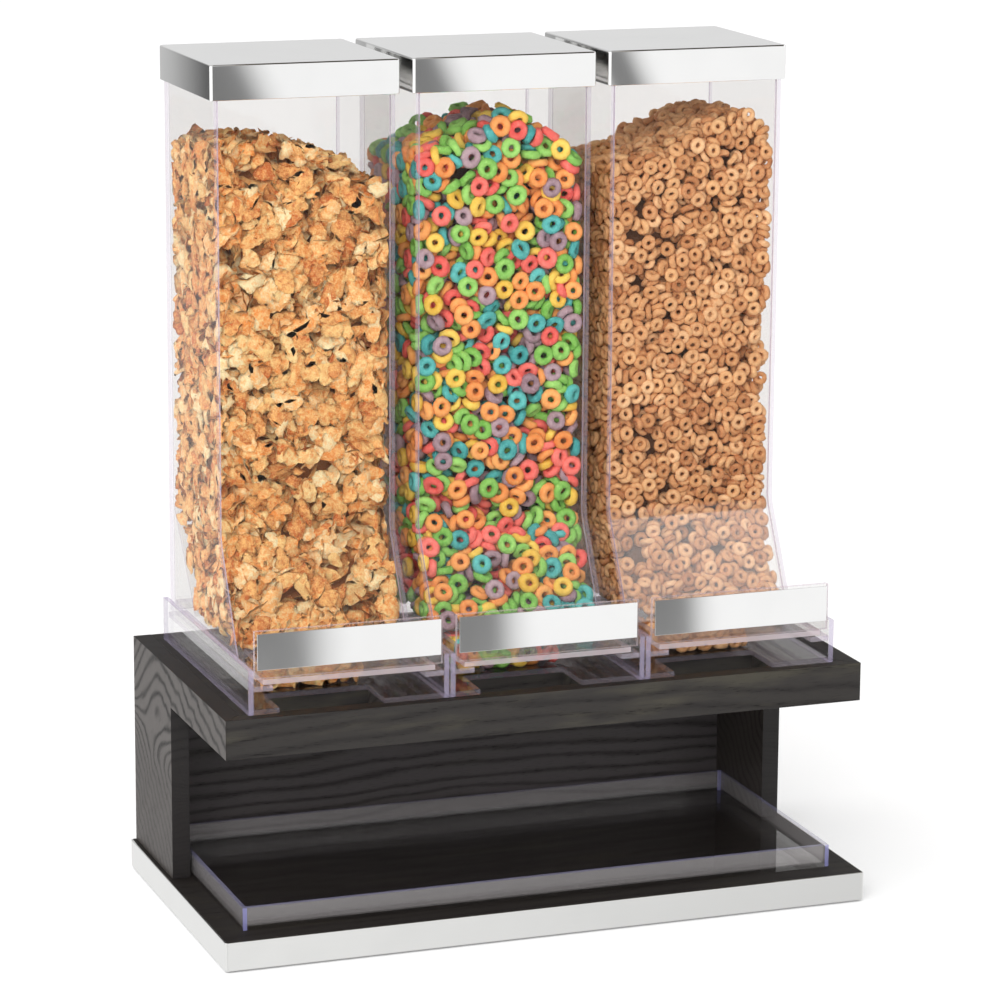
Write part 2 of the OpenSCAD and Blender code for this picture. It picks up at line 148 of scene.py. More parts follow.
class Graph:
    """One node tree of a material or a world, and the ways to add to it."""

    def __init__(self, tree: bpy.types.NodeTree) -> None:
        """Empties the tree."""
        self.tree = tree
        tree.nodes.clear()

    def node(self, kind: str, settings: Settings = None, inputs: Settings = None) -> bpy.types.Node:
        """Adds any node.

        Args:
            kind: the node's type.
            settings: its own settings, set first; "stops" fills a colour ramp with (place, colour) pairs.
            inputs: what its sockets, by name or number, hold or are linked to.

        Returns:
            The new node.
        """
        made = self.tree.nodes.new(kind)
        for name, value in (settings or {}).items():
            if name != "stops":
                setattr(made, name, value)
                continue
            elements = made.color_ramp.elements
            while len(elements) < len(value):
                elements.new(1.0)
            for element, (place, colour) in zip(elements, value):
                element.position = place
                element.color = (*colour, 1.0)
        for name, value in (inputs or {}).items():
            source = value.socket if isinstance(value, Term) else value
            if isinstance(source, Socket):
                self.tree.links.new(source, made.inputs[name])
            else:
                made.inputs[name].default_value = source
        return made

    def term(self, kind: str, settings: Settings = None, inputs: Settings = None, output: Any = 0) -> Term:
        """Adds a node and returns one of its outputs as a term."""
        return Term(self, self.node(kind, settings, inputs).outputs[output])

    def shader(self, kind: str, inputs: dict[Any, Any]) -> Socket:
        """Adds a shader by the end of its type's name and returns its output."""
        return self.node(f"ShaderNode{kind}", {}, inputs).outputs[0]

    def blend(self, factor: Any, first: Socket, second: Socket) -> Socket:
        """Mixes two shaders; the factor is the share of the second."""
        return self.shader("MixShader", {0: factor, 1: first, 2: second})

    def mix(self, factor: Any, first: Any, second: Any) -> Socket:
        """Mixes two colours.

        Args:
            factor: the share of the second.
            first: a colour as three numbers, or a colour socket.
            second: the same.

        Returns:
            The mixed colour's socket.
        """
        a, b = [(*c, 1.0) if isinstance(c, tuple) else c for c in (first, second)]
        return self.node("ShaderNodeMix", {"data_type": "RGBA"}, {0: factor, 6: a, 7: b}).outputs[2]

    def split(self, vector: Socket) -> tuple[Term, ...]:
        """Takes a vector apart into three terms."""
        parts = self.node("ShaderNodeSeparateXYZ", {}, {0: vector})
        return tuple(Term(self, parts.outputs[i]) for i in range(3))

    def here(self) -> Socket:
        """Gives the place on the object as a vector, in metres."""
        return self.node("ShaderNodeTexCoord").outputs["Object"]

    def place(self) -> tuple[Term, ...]:
        """Gives the place on the object as three terms."""
        return self.split(self.here())

    def normal(self) -> tuple[Term, ...]:
        """Gives the direction that the surface faces as three terms."""
        return self.split(self.node("ShaderNodeNewGeometry").outputs["Normal"])

    def point(self, x: Any, y: Any, z: Any) -> Socket:
        """Joins three numbers or terms into a vector."""
        return self.node("ShaderNodeCombineXYZ", {}, {0: x, 1: y, 2: z}).outputs[0]

    def noise(self, where: Socket, scale: float, detail: float = 3.0, roughness: float = 0.55) -> Term:
        """Gives smooth noise from 0 to 1 at a vector."""
        inputs = {"Vector": where, "Scale": scale, "Detail": detail, "Roughness": roughness}
        return self.term("ShaderNodeTexNoise", {}, inputs)

    def cells(self, where: Socket, scale: float) -> Term:
        """Gives the distance to the nearest of scattered points."""
        return self.term("ShaderNodeTexVoronoi", {"feature": "F1"}, {"Vector": where, "Scale": scale})

    def bump(self, height: Term, distance: float, strength: float = 1.0) -> Socket:
        """Turns a height from 0 to 1 into a bent normal; distance is what 1 stands for, in metres."""
        return self.shader("Bump", {"Height": height, "Distance": distance, "Strength": strength})

    def surface(self, shader: Socket, kind: str = "OutputMaterial") -> None:
        """Ends the graph in its output."""
        self.node(f"ShaderNode{kind}", {}, {"Surface": shader})


# ---- Finishes ----


@dataclass(frozen=True)
class Finish:
    """What a surface is made of; each kind shades its own graph."""

    name: str

    def shade(self, g: Graph) -> Socket:
        """Builds the shader and returns its socket."""
        raise NotImplementedError

    def material(self) -> bpy.types.Material:
        """Gives the material of this finish, which is made once."""
        known = bpy.data.materials.get(self.name)
        if known is not None:
            return known
        made = bpy.data.materials.new(self.name)
        made.use_nodes = True
        g = Graph(made.node_tree)
        g.surface(self.shade(g))
        return made


class Grain(Enum):
    """How the grain of a board runs."""

    ALONG_X = "along_x"
    ARCHED = "arched"


@dataclass(frozen=True)
class StainedOak(Finish):
    """Open-pored oak, stained nearly black; spacing is the distance of the growth lines in metres. A share of a
    second painted shade colour may darken faces that face up, to the front and to the back.
    """

    grain: Grain = Grain.ALONG_X
    early: Triple = (0.032, 0.029, 0.027)
    late: Triple = (0.015, 0.013, 0.013)
    pore: Triple = (0.007, 0.006, 0.006)
    patch: Triple = (0.075, 0.068, 0.048)
    # A darker colour mixed onto upward faces: painted shade.
    top: Triple = (0.011, 0.0075, 0.006)
    # Painted shade colour, mixed by the share below onto faces that face up, to the front and to the back.
    painted_shade: Triple = (0.017, 0.015, 0.015)
    patches: float = 0.5
    spacing: float = 0.0105
    contrast: float = 0.6
    lacquer: float = 0.2
    # Share of the painted shade colour.
    painted_shade_share: float = 0.0

    def field_of(self, x: Term, y: Term, z: Term) -> tuple[Term, Term, Term, Term]:
        """Chooses how the growth lines run.

        On the arched boards they are nested arches over the arm, z + 0.64 sqrt(u^2 + 0.012^2) + 0.25 u with u
        the distance behind their crown, and steep straight lines z + 1.1 (0.125 - y) down the leg; the others
        have nearly straight lines.

        Args:
            x: place to the right, in metres.
            y: place to the back.
            z: height.

        Returns:
            A height whose level lines are the growth lines, and the places along, across and into the grain.
        """
        if self.grain is Grain.ARCHED:
            u = y - 0.061
            arch = z + ((u * u + 0.000144) ** 0.5) * 0.64 + u * 0.25
            leg = z + (0.125 - y) * 1.1
            share = z.step(0.098, 0.146)
            return arch * share + leg * (1.0 - share), z - y * 0.8, z * 0.8 + y, x
        return z + y * 0.8 + (x * x) * 0.12, x, z, y

    def shade(self, g: Graph) -> Socket:
        """Growth lines across the board, fine pores along them, a satin lacquer over both, and painted shade on
        upward faces.
        """
        x, y, z = g.place()
        line_field, along, across, depth = self.field_of(x, y, z)

        def stretched(lengthwise: float, crosswise: float, detail: float, roughness: float = 0.55) -> Term:
            """Gives noise that is drawn out along the grain."""
            where = g.point(along * lengthwise, across * crosswise, depth * crosswise)
            return g.noise(where, 1.0, detail, roughness)

        slow = stretched(4.0, 18.0, 2.0)
        line_field = line_field + (slow - 0.5) * 0.030 + (stretched(22.0, 70.0, 3.0) - 0.5) * 0.006
        lines = ((line_field * (TAU / self.spacing)).sine() * 0.5 + 0.5) ** 3.0
        if self.grain is Grain.ARCHED:
            fine = ((line_field * (TAU / 0.0034)).sine() * 0.5 + 0.5) ** 2.0
            low = 1.0 - z.step(0.075, 0.125)
            lines = lines * (1.0 - low * 0.6) + fine * low * 0.75
        lines = lines * (slow * 0.8 + 0.5)
        pores = stretched(110.0, 1300.0, 2.0, 0.6).step(0.56, 0.68) * (0.3 + lines * 0.9)
        wood = g.mix(lines * self.contrast, self.early, self.late)
        wood = g.mix(stretched(9.0, 46.0, 3.0).step(0.50, 0.70) * self.patches, wood, self.patch)
        wood = g.mix(pores * 0.7, wood, self.pore)
        _, ny, nz = g.normal()
        upward = nz.step(0.5, 0.8)
        # Painted shade: faces that face up, to the front and to the back are darkened by the given share.
        if self.painted_shade_share:
            wood = g.mix(upward.most(abs(ny).step(0.5, 0.8)) * self.painted_shade_share, wood, self.painted_shade)
        # Painted shade: upward faces take the top colour.
        wood = g.mix(upward * 0.62, wood, self.top)
        return g.shader("BsdfPrincipled", {
            "Base Color": wood,
            "Roughness": (0.40 + lines * 0.12 + pores * 0.2).most(upward * 0.62),
            "Specular IOR Level": self.lacquer,
            "Normal": g.bump((1.0 - pores) * 0.7 + (1.0 - lines) * 0.3, 0.00016, 0.8),
        })


@dataclass(frozen=True)
class PolishedSteel(Finish):
    """Bright stainless sheet; its left and front ends roll away a little, as a pressed sheet's do."""

    left_mm: float = 0.0
    low_mm: float = 0.0
    front_mm: float = 0.0
    roll_mm: float = 60.0
    slant: float = 0.5
    slope: float = 0.0
    side_slope: float = 0.0
    side_roll_mm: float = 125.0
    base: Triple = (0.92, 0.92, 0.915)
    rough: float = 0.09

    def shade(self, g: Graph) -> Socket:
        """A mirror with faint polishing lines, smudges in its roughness and the rolls as slow heights.

        With r the share of the roll that is left, from 1 at the sheet's end to 0, the height is
        -slope * roll * r^2 / 2, so the slope falls evenly from the end inwards.
        """
        x, y, z = g.place()
        lines = g.noise(g.point(x * 30.0, y * 30.0, z * 2600.0), 1.0, 2.0)
        smudge = g.noise(g.here(), 22.0, 3.0)
        if self.slope:
            inward = x * 1000.0 - self.left_mm + (z * 1000.0 - self.low_mm) * self.slant
            left = (1.0 - inward / self.roll_mm).most(0.0)
            back = (1.0 - (y * 1000.0 - self.front_mm) / self.side_roll_mm).most(0.0)
            nx, ny, _ = g.normal()
            drop, side_drop = -0.5 * self.slope * self.roll_mm, -0.5 * self.side_slope * self.side_roll_mm
            roll = left * left * (ny * -1.0).step(0.5, 0.8) * drop
            roll = roll + back * back * (nx * -1.0).step(0.5, 0.8) * side_drop
            normal = g.bump(roll + lines * 0.002, 0.001)
        else:
            normal = g.bump(lines, 0.000004)
        return g.shader("BsdfPrincipled", {
            "Base Color": g.mix(smudge.step(0.3, 0.8), self.base, tuple(c * 0.97 for c in self.base)),
            "Metallic": 1.0,
            "Roughness": self.rough + (smudge - 0.5) * 0.05,
            "Normal": normal,
        })


class Faces(Enum):
    """Which faces of a clear piece are sheet; the others are its edges."""

    X = "x"
    Y = "y"
    Z = "z"
    LEANING = "leaning"
    BOX = "box"


@dataclass(frozen=True)
class ClearAcrylic(Finish):
    """Clear cast sheet whose edges are faintly lilac.

    A sheet's two faces are parallel, so what is behind shows through unbent: a tinted see-through share, and a
    mirror share m = f + (1 - f) (1 - cos)^5 that grows at a glance, with f = 0.04. Leaning faces may have a share
    of their own.
    """

    faces: Faces = Faces.Y
    clear: Triple = (0.946, 0.941, 0.937)
    edge: Triple = (0.62, 0.55, 0.64)
    edge_clear: Triple = (0.92, 0.89, 0.94)
    edge_body: float = 0.35
    mirror: float = 0.6
    leaning_mirror: Optional[float] = None
    box_top_mm: float = 300.0
    box_half_mm: float = 1000.0
    top_share: float = 1.0
    # Share of a pale diffuse film on upright faces above the floor: a painted reflection.
    painted_reflection_share: float = 0.0

    def edges(self, g: Graph) -> Term:
        """Gives 1 on the edge faces and 0 on the sheet's own."""
        nx, ny, nz = (abs(n) for n in g.normal())
        if self.faces is Faces.LEANING:
            return nx.step(0.3, 0.9)
        if self.faces is Faces.BOX:
            x, _, z = g.place()
            top = nz.step(0.2, 0.8) * (z * 1000.0).step(self.box_top_mm - 1.2, self.box_top_mm - 0.8)
            ends = ny.step(0.5, 0.8) * abs(x * 1000.0).step(self.box_half_mm - 3.3, self.box_half_mm - 3.1)
            return (top * self.top_share).most(ends)
        return 1.0 - {"x": nx, "y": ny, "z": nz}[self.faces.value].step(0.2, 0.8)

    def shade(self, g: Graph) -> Socket:
        """Builds the sheet and its edges; faint wiping marks scatter the mirror image a little, and a pale
        diffuse film on upright faces above the floor is a painted reflection.
        """
        scuff = g.noise(g.here(), 60.0, 3.0).step(0.55, 0.9)
        gleam = g.term("ShaderNodeLayerWeight", {}, {"Blend": 0.5}, "Facing") ** 5.0 * 0.96 + 0.04
        if self.leaning_mirror is None:
            gleam = gleam * self.mirror
        else:
            tilted = abs(g.normal()[2]).step(0.15, 0.4)
            gleam = (gleam * (tilted * (self.leaning_mirror - self.mirror) + self.mirror)).least(1.0)
        sheet = g.blend(gleam, g.shader("BsdfTransparent", {"Color": (*self.clear, 1.0)}),
                        g.shader("BsdfGlossy", {"Color": WHITE, "Roughness": scuff * 0.08 + 0.01}))
        # Painted reflection: a pale diffuse film brightens upright faces above the floor.
        if self.painted_reflection_share:
            painted_reflection_colour = (0.90, 0.85, 0.86, 1.0)
            painted_reflection = g.shader("BsdfPrincipled", {"Base Color": painted_reflection_colour, "Roughness": scuff * 0.1 + 0.3})
            above_floor = g.place()[2].step(0.0255, 0.0262)
            sheet = g.blend((1.0 - abs(g.normal()[2]).step(0.3, 0.7)) * above_floor * self.painted_reflection_share, sheet, painted_reflection)
        body = g.shader("BsdfPrincipled", {"Base Color": (*self.edge, 1.0), "Roughness": scuff * 0.1 + 0.2})
        rim = g.blend(self.edge_body, g.shader("BsdfTransparent", {"Color": (*self.edge_clear, 1.0)}), body)
        open_way = g.shader("BsdfTransparent", {"Color": (0.985, 0.985, 0.985, 1.0)})
        shadow = g.node("ShaderNodeLightPath").outputs["Is Shadow Ray"]
        return g.blend(shadow, g.blend(self.edges(g), sheet, rim), open_way)


@dataclass(frozen=True)
class Grained(Finish):
    """A small part's material, whose colour, roughness and height follow one fine texture."""

    dark: Triple = (0.015, 0.015, 0.015)
    light: Triple = (0.030, 0.030, 0.030)
    scale: float = 1800.0
    cellular: bool = True
    rough: float = 0.7
    rough_span: float = 0.2
    relief: float = 0.0
    metallic: float = 0.0

    def shade(self, g: Graph) -> Socket:
        """Mixes the two colours by the texture."""
        grain = g.cells(g.here(), self.scale) if self.cellular else g.noise(g.here(), self.scale, 2.0)
        inputs = {
            "Base Color": g.mix(grain, self.dark, self.light),
            "Metallic": self.metallic,
            "Roughness": self.rough + grain * self.rough_span,
        }
        if self.relief:
            inputs["Normal"] = g.bump(grain, self.relief)
        return g.shader("BsdfPrincipled", inputs)


SILICONE = Grained("silicone", (0.80, 0.80, 0.77), (0.86, 0.86, 0.83), 900.0, False, 0.5, 0.15, 0.00003)
RUBBER = Grained("foot_rubber", relief=0.00005)
ZINC = Grained("screw_zinc", (0.50, 0.50, 0.52), (0.66, 0.66, 0.68), 700.0, rough=0.28, metallic=1.0)


@dataclass(frozen=True)
class Crumb(Finish):
    """A baked, crumbly surface; the attribute "tone" shades each piece by itself."""

    dark: Triple
    light: Triple
    speck_and_highlight: Triple
    grain_scale: float = 900.0
    blotch_scale: float = 260.0
    relief: float = 0.00035
    speck_and_highlight_share: float = 0.3
    mottle: float = 1.1

    def shade(self, g: Graph) -> Socket:
        """Mixes the piece's own tone with blotches, adds pale specks, which are painted highlights on the flakes,
        and bumps the surface with that grain.
        """
        tone = g.term("ShaderNodeAttribute", {"attribute_name": "tone"}, {}, "Fac")
        grain = g.noise(g.here(), self.grain_scale, 3.0, 0.65)
        blotch = g.noise(g.here(), self.blotch_scale, 2.0)
        shade = tone * 0.6 + (blotch - 0.5) * self.mottle + (grain - 0.5) * self.mottle * 0.7 + 0.2
        colour = g.mix(shade.clamped(), self.dark, self.light)
        # Pale specks: real flecks on the rings and oats, painted highlights on the flakes.
        return g.shader("BsdfPrincipled", {
            "Base Color": g.mix(grain.step(0.56, 0.72) * self.speck_and_highlight_share, colour, self.speck_and_highlight),
            "Roughness": 0.55 + grain * 0.25,
            "Specular IOR Level": 0.4,
            "Normal": g.bump(grain * 0.6 + blotch * 0.4, self.relief),
        })


# ---- Meshes ----


def linked(name: str, data: Any) -> bpy.types.Object:
    """Puts an object with this data into the scene."""
    made = bpy.data.objects.new(name, data)
    bpy.context.scene.collection.objects.link(made)
    return made


def mesh_object(name: str, points: Array, faces: Array, smooth: bool = True,
                tone: Optional[Array] = None) -> bpy.types.Object:
    """Makes an object from arrays.

    Args:
        name: the piece's name.
        points: (n, 3) places in metres.
        faces: (m, k) corners of each face, counter-clockwise from outside.
        smooth: shades the faces smooth.
        tone: one number a point, kept as the attribute "tone".

    Returns:
        The object, at the origin.
    """
    count, corners = faces.shape
    mesh = bpy.data.meshes.new(name)
    mesh.vertices.add(len(points))
    mesh.vertices.foreach_set("co", np.ascontiguousarray(points, np.float32).ravel())
    mesh.loops.add(count * corners)
    mesh.loops.foreach_set("vertex_index", np.ascontiguousarray(faces, np.int32).ravel())
    mesh.polygons.add(count)
    mesh.polygons.foreach_set("loop_start", np.arange(0, count * corners, corners, dtype=np.int32))
    mesh.update(calc_edges=True)
    mesh.polygons.foreach_set("use_smooth", np.full(count, smooth))
    if tone is not None:
        kept = mesh.attributes.new("tone", "FLOAT", "POINT")
        kept.data.foreach_set("value", np.ascontiguousarray(tone, np.float32))
    mesh.validate()
    return linked(name, mesh)


def grid_faces(rows: int, columns: int, wrap_rows: bool = False, wrap_columns: bool = False) -> Array:
    """Numbers the quads of a grid of points stored row after row.

    Args:
        rows: points down the grid.
        columns: points across it.
        wrap_rows: joins the last row to the first.
        wrap_columns: joins the last column to the first.

    Returns:
        (m, 4) corners.
    """
    i, j = np.meshgrid(np.arange(rows if wrap_rows else rows - 1),
                       np.arange(columns if wrap_columns else columns - 1), indexing="ij")
    i, j = i.ravel(), j.ravel()
    row, below, right = i * columns, (i + 1) % rows * columns, (j + 1) % columns
    return np.stack([row + j, row + right, below + right, below + j], axis=1)


def rounded_loop(half_x: float, half_y: float, radius: float, inset: Array, steps: int = 6) -> Array:
    """Gives rounded rectangles about the origin, one for each inset.

    Each corner is a quarter circle whose centre lies at (half_x - radius, half_y - radius) and whose radius
    shrinks with the inset: a corner's point is centre + (radius - inset) * (cos a, sin a).

    Args:
        half_x: half the outer width.
        half_y: half the outer depth.
        radius: the outer corner radius.
        inset: (k,) distances inside the outer outline.
        steps: points on a corner.

    Returns:
        (k, 4 * steps, 2) places, counter-clockwise.
    """
    quarter = np.linspace(0, math.pi / 2, steps)
    angles = (quarter[None, :] + np.arange(4)[:, None] * math.pi / 2).ravel()
    signs = np.repeat(np.array([[1, 1], [-1, 1], [-1, -1], [1, -1]]), steps, axis=0)
    r = np.maximum(radius - inset, 0.02)[:, None]
    centre = np.array([half_x, half_y])[None, None, :] - np.maximum(radius, inset + 0.02)[:, None, None]
    return centre * signs[None] + r[..., None] * np.stack([np.cos(angles), np.sin(angles)], axis=1)[None]


def swept_ring(name: str, centre: tuple[float, float], half: tuple[float, float], radius: float, profile: Array,
               closed: bool) -> bpy.types.Object:
    """Carries a profile of (inset, height) points round a rounded rectangle.

    Args:
        name: the piece's name.
        centre: the rectangle's middle in mm.
        half: half its width and depth in mm.
        radius: its corner radius in mm.
        profile: (k, 2) insets and heights in mm.
        closed: the profile's ends meet; otherwise they are capped.

    Returns:
        The object.
    """
    loops = rounded_loop(half[0], half[1], radius, profile[:, 0])
    rows, columns = loops.shape[:2]
    heights = np.broadcast_to(profile[:, 1, None, None], (rows, columns, 1))
    places = np.concatenate([loops + np.array(centre), heights], axis=2)
    made = mesh_object(name, places.reshape(-1, 3) * MM, grid_faces(rows, columns, closed, True))
    bm = bmesh.new()
    bm.from_mesh(made.data)
    if not closed:
        bmesh.ops.holes_fill(bm, edges=[e for e in bm.edges if e.is_boundary], sides=0)
    bmesh.ops.recalc_face_normals(bm, faces=bm.faces)
    mark_sharp(bm, 5.0)
    bm.to_mesh(made.data)
    bm.free()
    return made


def mark_sharp(bm: bmesh.types.BMesh, angle: float) -> None:
    """Shades every face smooth and keeps the edges sharp whose faces turn by more than an angle in degrees."""
    for face in bm.faces:
        face.smooth = True
    for edge in bm.edges:
        edge.smooth = len(edge.link_faces) == 2 and edge.calc_face_angle(0.0) < math.radians(angle)


def softened(name: str, node: str, bevel: float, inset: float = 0.0, segments: int = 1) -> bpy.types.Object:
    """Copies a CAD node with broken edges.

    Each corner moves by v, the least move for which n . v = -inset holds for every face n that meets there, so
    all faces step in by the same small distance; then the sharp edges are bevelled.

    Args:
        name: the piece's name.
        node: the CAD node.
        bevel: width of the broken edge in mm.
        inset: how far each face steps in, in mm.
        segments: faces across a broken edge.

    Returns:
        The object, which replaces the node.
    """
    bm = bmesh.new()
    bm.from_mesh(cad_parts[node].data)
    bmesh.ops.remove_doubles(bm, verts=bm.verts, dist=2e-6)
    bmesh.ops.dissolve_limit(bm, angle_limit=math.radians(0.5), verts=bm.verts, edges=bm.edges)
    mesh = bpy.data.meshes.new(name)
    bm.to_mesh(mesh)
    bm.free()
    if inset:
        places, normals = np.zeros(len(mesh.vertices) * 3), np.zeros(len(mesh.polygons) * 3)
        totals, corner = np.zeros(len(mesh.polygons), np.int32), np.zeros(len(mesh.loops), np.int32)
        mesh.vertices.foreach_get("co", places)
        mesh.polygons.foreach_get("normal", normals)
        mesh.polygons.foreach_get("loop_total", totals)
        mesh.loops.foreach_get("vertex_index", corner)
        n = np.repeat(normals.reshape(-1, 3), totals, axis=0)
        pull = np.zeros((len(mesh.vertices), 3, 3))
        np.add.at(pull, corner, n[:, :, None] * n[:, None, :])
        want = np.zeros((len(mesh.vertices), 3))
        np.add.at(want, corner, n * -inset * MM)
        move = np.einsum("vij,vj->vi", np.linalg.pinv(pull, rcond=1e-3), want)
        mesh.vertices.foreach_set("co", (places.reshape(-1, 3) + move).ravel())
        mesh.update()
    bm = bmesh.new()
    bm.from_mesh(mesh)
    sharp = [e for e in bm.edges if len(e.link_faces) == 2 and e.calc_face_angle(0.0) > math.radians(24)]
    if bevel:
        bmesh.ops.bevel(bm, geom=sharp, offset=bevel * MM, segments=segments, affect="EDGES", profile=0.5,
                        clamp_overlap=True)
    mark_sharp(bm, 20.0)
    bm.to_mesh(mesh)
    bm.free()
    return linked(name, mesh)


def refinished(node: str, finish: Finish) -> None:
    """Gives a CAD node that keeps its mesh a finish."""
    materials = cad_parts[node].data.materials
    materials.clear()
    materials.append(finish.material())
    log.info("%s keeps its CAD mesh", node)


def dress(piece: bpy.types.Object, finish: Finish, body: str, slot: str, *nodes: str) -> None:
    """Finishes a new piece.

    Args:
        piece: the object.
        finish: its finish.
        body: the CAD body that it rides on.
        slot: the name of a material slot; not used.
        nodes: the CAD nodes that it replaces.
    """
    piece.data.materials.clear()
    piece.data.materials.append(finish.material())
    if nodes:
        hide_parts(*nodes)
    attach(piece, body)
    log.info("%s rides on %s, %d faces", piece.name, body, len(piece.data.polygons))


# ---- Loose food ----


@dataclass
class Room:
    """A space that food fills, in mm; its walls push a ball of a given radius back inside."""

    low: Triple
    high: Triple

    def push(self, p: Array, r: float) -> Array:
        """Moves balls with (n, 3) centres p and radius r into the room."""
        return np.clip(p, np.array(self.low) + r, np.array(self.high) - r)

    def holds(self, p: Array, r: float) -> Array:
        """Tells which balls are inside."""
        return np.abs(self.push(p, r) - p).max(axis=1) < 1e-6

    def wall_normals(self, p: Array, reach: float) -> tuple[Array, Array]:
        """Gives the direction of the side wall nearest to each centre, and whether it is within reach."""
        gaps = np.stack([
            p[:, 0] - self.low[0], self.high[0] - p[:, 0], self.front_gap(p), self.high[1] - p[:, 1],
        ], 1)
        axes = np.array([[1.0, 0, 0], [1, 0, 0], [0, 1, 0], [0, 1, 0]])
        return axes[gaps.argmin(axis=1)], gaps.min(axis=1) < reach

    def front_gap(self, p: Array) -> Array:
        """Gives the distance to the front wall."""
        return p[:, 1] - self.low[1]


@dataclass
class BinRoom(Room):
    """The inside of a bin up to the heap's top, less a core that the food hides."""

    front_profile: Array = field(default_factory=lambda: np.zeros((2, 2)))
    ramp: tuple[tuple[float, float], tuple[float, float]] = ((56.8, 209.9), (111.8, 281.9))
    heap: Array = field(default_factory=lambda: np.zeros((2, 2)))
    heap_fall: float = 0.06
    heap_rough: float = 5.0
    seed: int = 1
    shell: float = 18.0
    core_low: float = 236.0

    def front(self, z: Array) -> Array:
        """Gives the front wall's Y at a height, read off its side view."""
        return np.interp(z, self.front_profile[:, 0], self.front_profile[:, 1])

    def top(self, x: Array, y: Array) -> Array:
        """Gives the heap's height.

        It follows the ridge line over X, falls towards the back and is roughened by four crossing waves.
        """
        local = x - (self.low[0] + self.high[0]) / 2
        ridge = np.interp(local, self.heap[:, 0], self.heap[:, 1])
        k = self.seed * 1.7
        waves = (np.sin(x / 5.1 + k) * np.sin(y / 6.3 + 2 * k) + 0.7 * np.sin(x / 9.7 - y / 8.9 + k)
                 + 0.5 * np.sin(x / 3.3 + y / 4.1 - k) + 0.4 * np.sin(y / 3.1 + 3 * k))
        return ridge - self.heap_fall * (y - self.low[1]) + self.heap_rough * waves * 0.45

    def ramp_plane(self) -> tuple[Array, float]:
        """Gives the ramp as a unit normal in (Y, Z), pointing into the food, and its offset."""
        (y0, z0), (y1, z1) = self.ramp
        n = np.array([-(z1 - z0), y1 - y0])
        n = n / np.linalg.norm(n)
        return n, float(n @ np.array([y0, z0]))

    def core_depth(self, p: Array) -> tuple[Array, Array]:
        """Gives how deep points lie in the core, negative outside, and the nearest ways out."""
        n, offset = self.ramp_plane()
        gaps = np.stack([
            p[:, 0] - self.low[0], self.high[0] - p[:, 0],
            p[:, 1] - self.front(p[:, 2]), self.high[1] - p[:, 1],
            self.top(p[:, 0], p[:, 1]) - p[:, 2], p[:, 1] * n[0] + p[:, 2] * n[1] - offset,
            p[:, 2] - self.core_low + self.shell,
        ], 1) - self.shell
        ways = np.array([
            [-1.0, 0, 0], [1, 0, 0], [0, -1, 0], [0, 1, 0], [0, 0, 1], [0, -n[0], -n[1]], [0, 0, -1],
        ])
        return gaps.min(axis=1), ways[gaps.argmin(axis=1)]

    def push(self, p: Array, r: float) -> Array:
        """Moves balls inside the walls, under the heap's top and out of the core."""
        p = p.copy()
        depth, way = self.core_depth(p)
        p += way * np.maximum(depth, 0.0)[:, None] * 0.5
        p[:, 2] = np.minimum(p[:, 2], self.top(p[:, 0], p[:, 1]) - r)
        slope = (self.front(p[:, 2] + 1.0) - self.front(p[:, 2] - 1.0)) / 2.0
        flat = 1.0 / np.sqrt(1.0 + slope ** 2)
        short = np.maximum(r - (p[:, 1] - self.front(p[:, 2])) * flat, 0.0)
        p[:, 1] += short * flat
        p[:, 2] -= short * flat * slope
        n, offset = self.ramp_plane()
        short = np.maximum(r - (p[:, 1] * n[0] + p[:, 2] * n[1] - offset), 0.0)
        p[:, 1] += short * n[0]
        p[:, 2] += short * n[1]
        p[:, 0] = np.clip(p[:, 0], self.low[0] + r, self.high[0] - r)
        p[:, 1] = np.minimum(p[:, 1], self.high[1] - r)
        p[:, 2] = np.maximum(p[:, 2], self.low[2] + r)
        return p

    def front_gap(self, p: Array) -> Array:
        """Gives the distance to the front wall."""
        return p[:, 1] - self.front(p[:, 2])

    def core(self, name: str) -> bpy.types.Object:
        """Builds the core as a lumpy closed block that follows the room's walls.

        A grid of points on a box, a in [-1, 1] across, b in [0, 1] up, is laid on the room's walls moved in by
        the shell and a little more; waves of a few mm make it lumpy.
        """
        inset = self.shell + 1.0
        rows, columns = 60, 88
        s = np.linspace(0, 4, columns, endpoint=False)[None, :].repeat(rows, 0)
        b = np.linspace(0, 1, rows)[:, None].repeat(columns, 1)
        side, along = np.floor(s).astype(int), s - np.floor(s)
        a = np.choose(side, [along * 2 - 1, np.ones_like(s), 1 - along * 2, -np.ones_like(s)])
        c = np.choose(side, [np.zeros_like(s), along, np.ones_like(s), 1 - along])
        x = (self.low[0] + self.high[0]) / 2 + a * ((self.high[0] - self.low[0]) / 2 - inset)
        n, offset = self.ramp_plane()
        middle = np.full_like(x, (self.low[1] + self.high[1]) / 2)
        z = self.core_low + b * (self.top(x, middle) - inset - self.core_low)
        y_front = self.front(z) + inset
        y_back = np.minimum(self.high[1] - inset, (z * n[1] - offset - inset) / -n[0])
        y = y_front + c * np.maximum(y_back - y_front, 2.0)
        z = self.core_low + b * (self.top(x, y) - inset - self.core_low)
        lump = 1.6 * np.sin(x / 3.1 + z / 4.3) * np.sin(y / 3.7 - z / 2.9)
        x, y = x + lump * a, y + lump * (c * 2 - 1)
        points = np.stack([x, y, z], 2).reshape(-1, 3)
        made = mesh_object(name, points * MM, grid_faces(rows, columns, False, True),
                           tone=np.full(len(points), 0.0))
        bm = bmesh.new()
        bm.from_mesh(made.data)
        bmesh.ops.holes_fill(bm, edges=[e for e in bm.edges if e.is_boundary], sides=0)
        bmesh.ops.triangulate(bm, faces=[f for f in bm.faces if len(f.verts) > 4])
        bmesh.ops.recalc_face_normals(bm, faces=bm.faces)
        bm.to_mesh(made.data)
        bm.free()
        return made


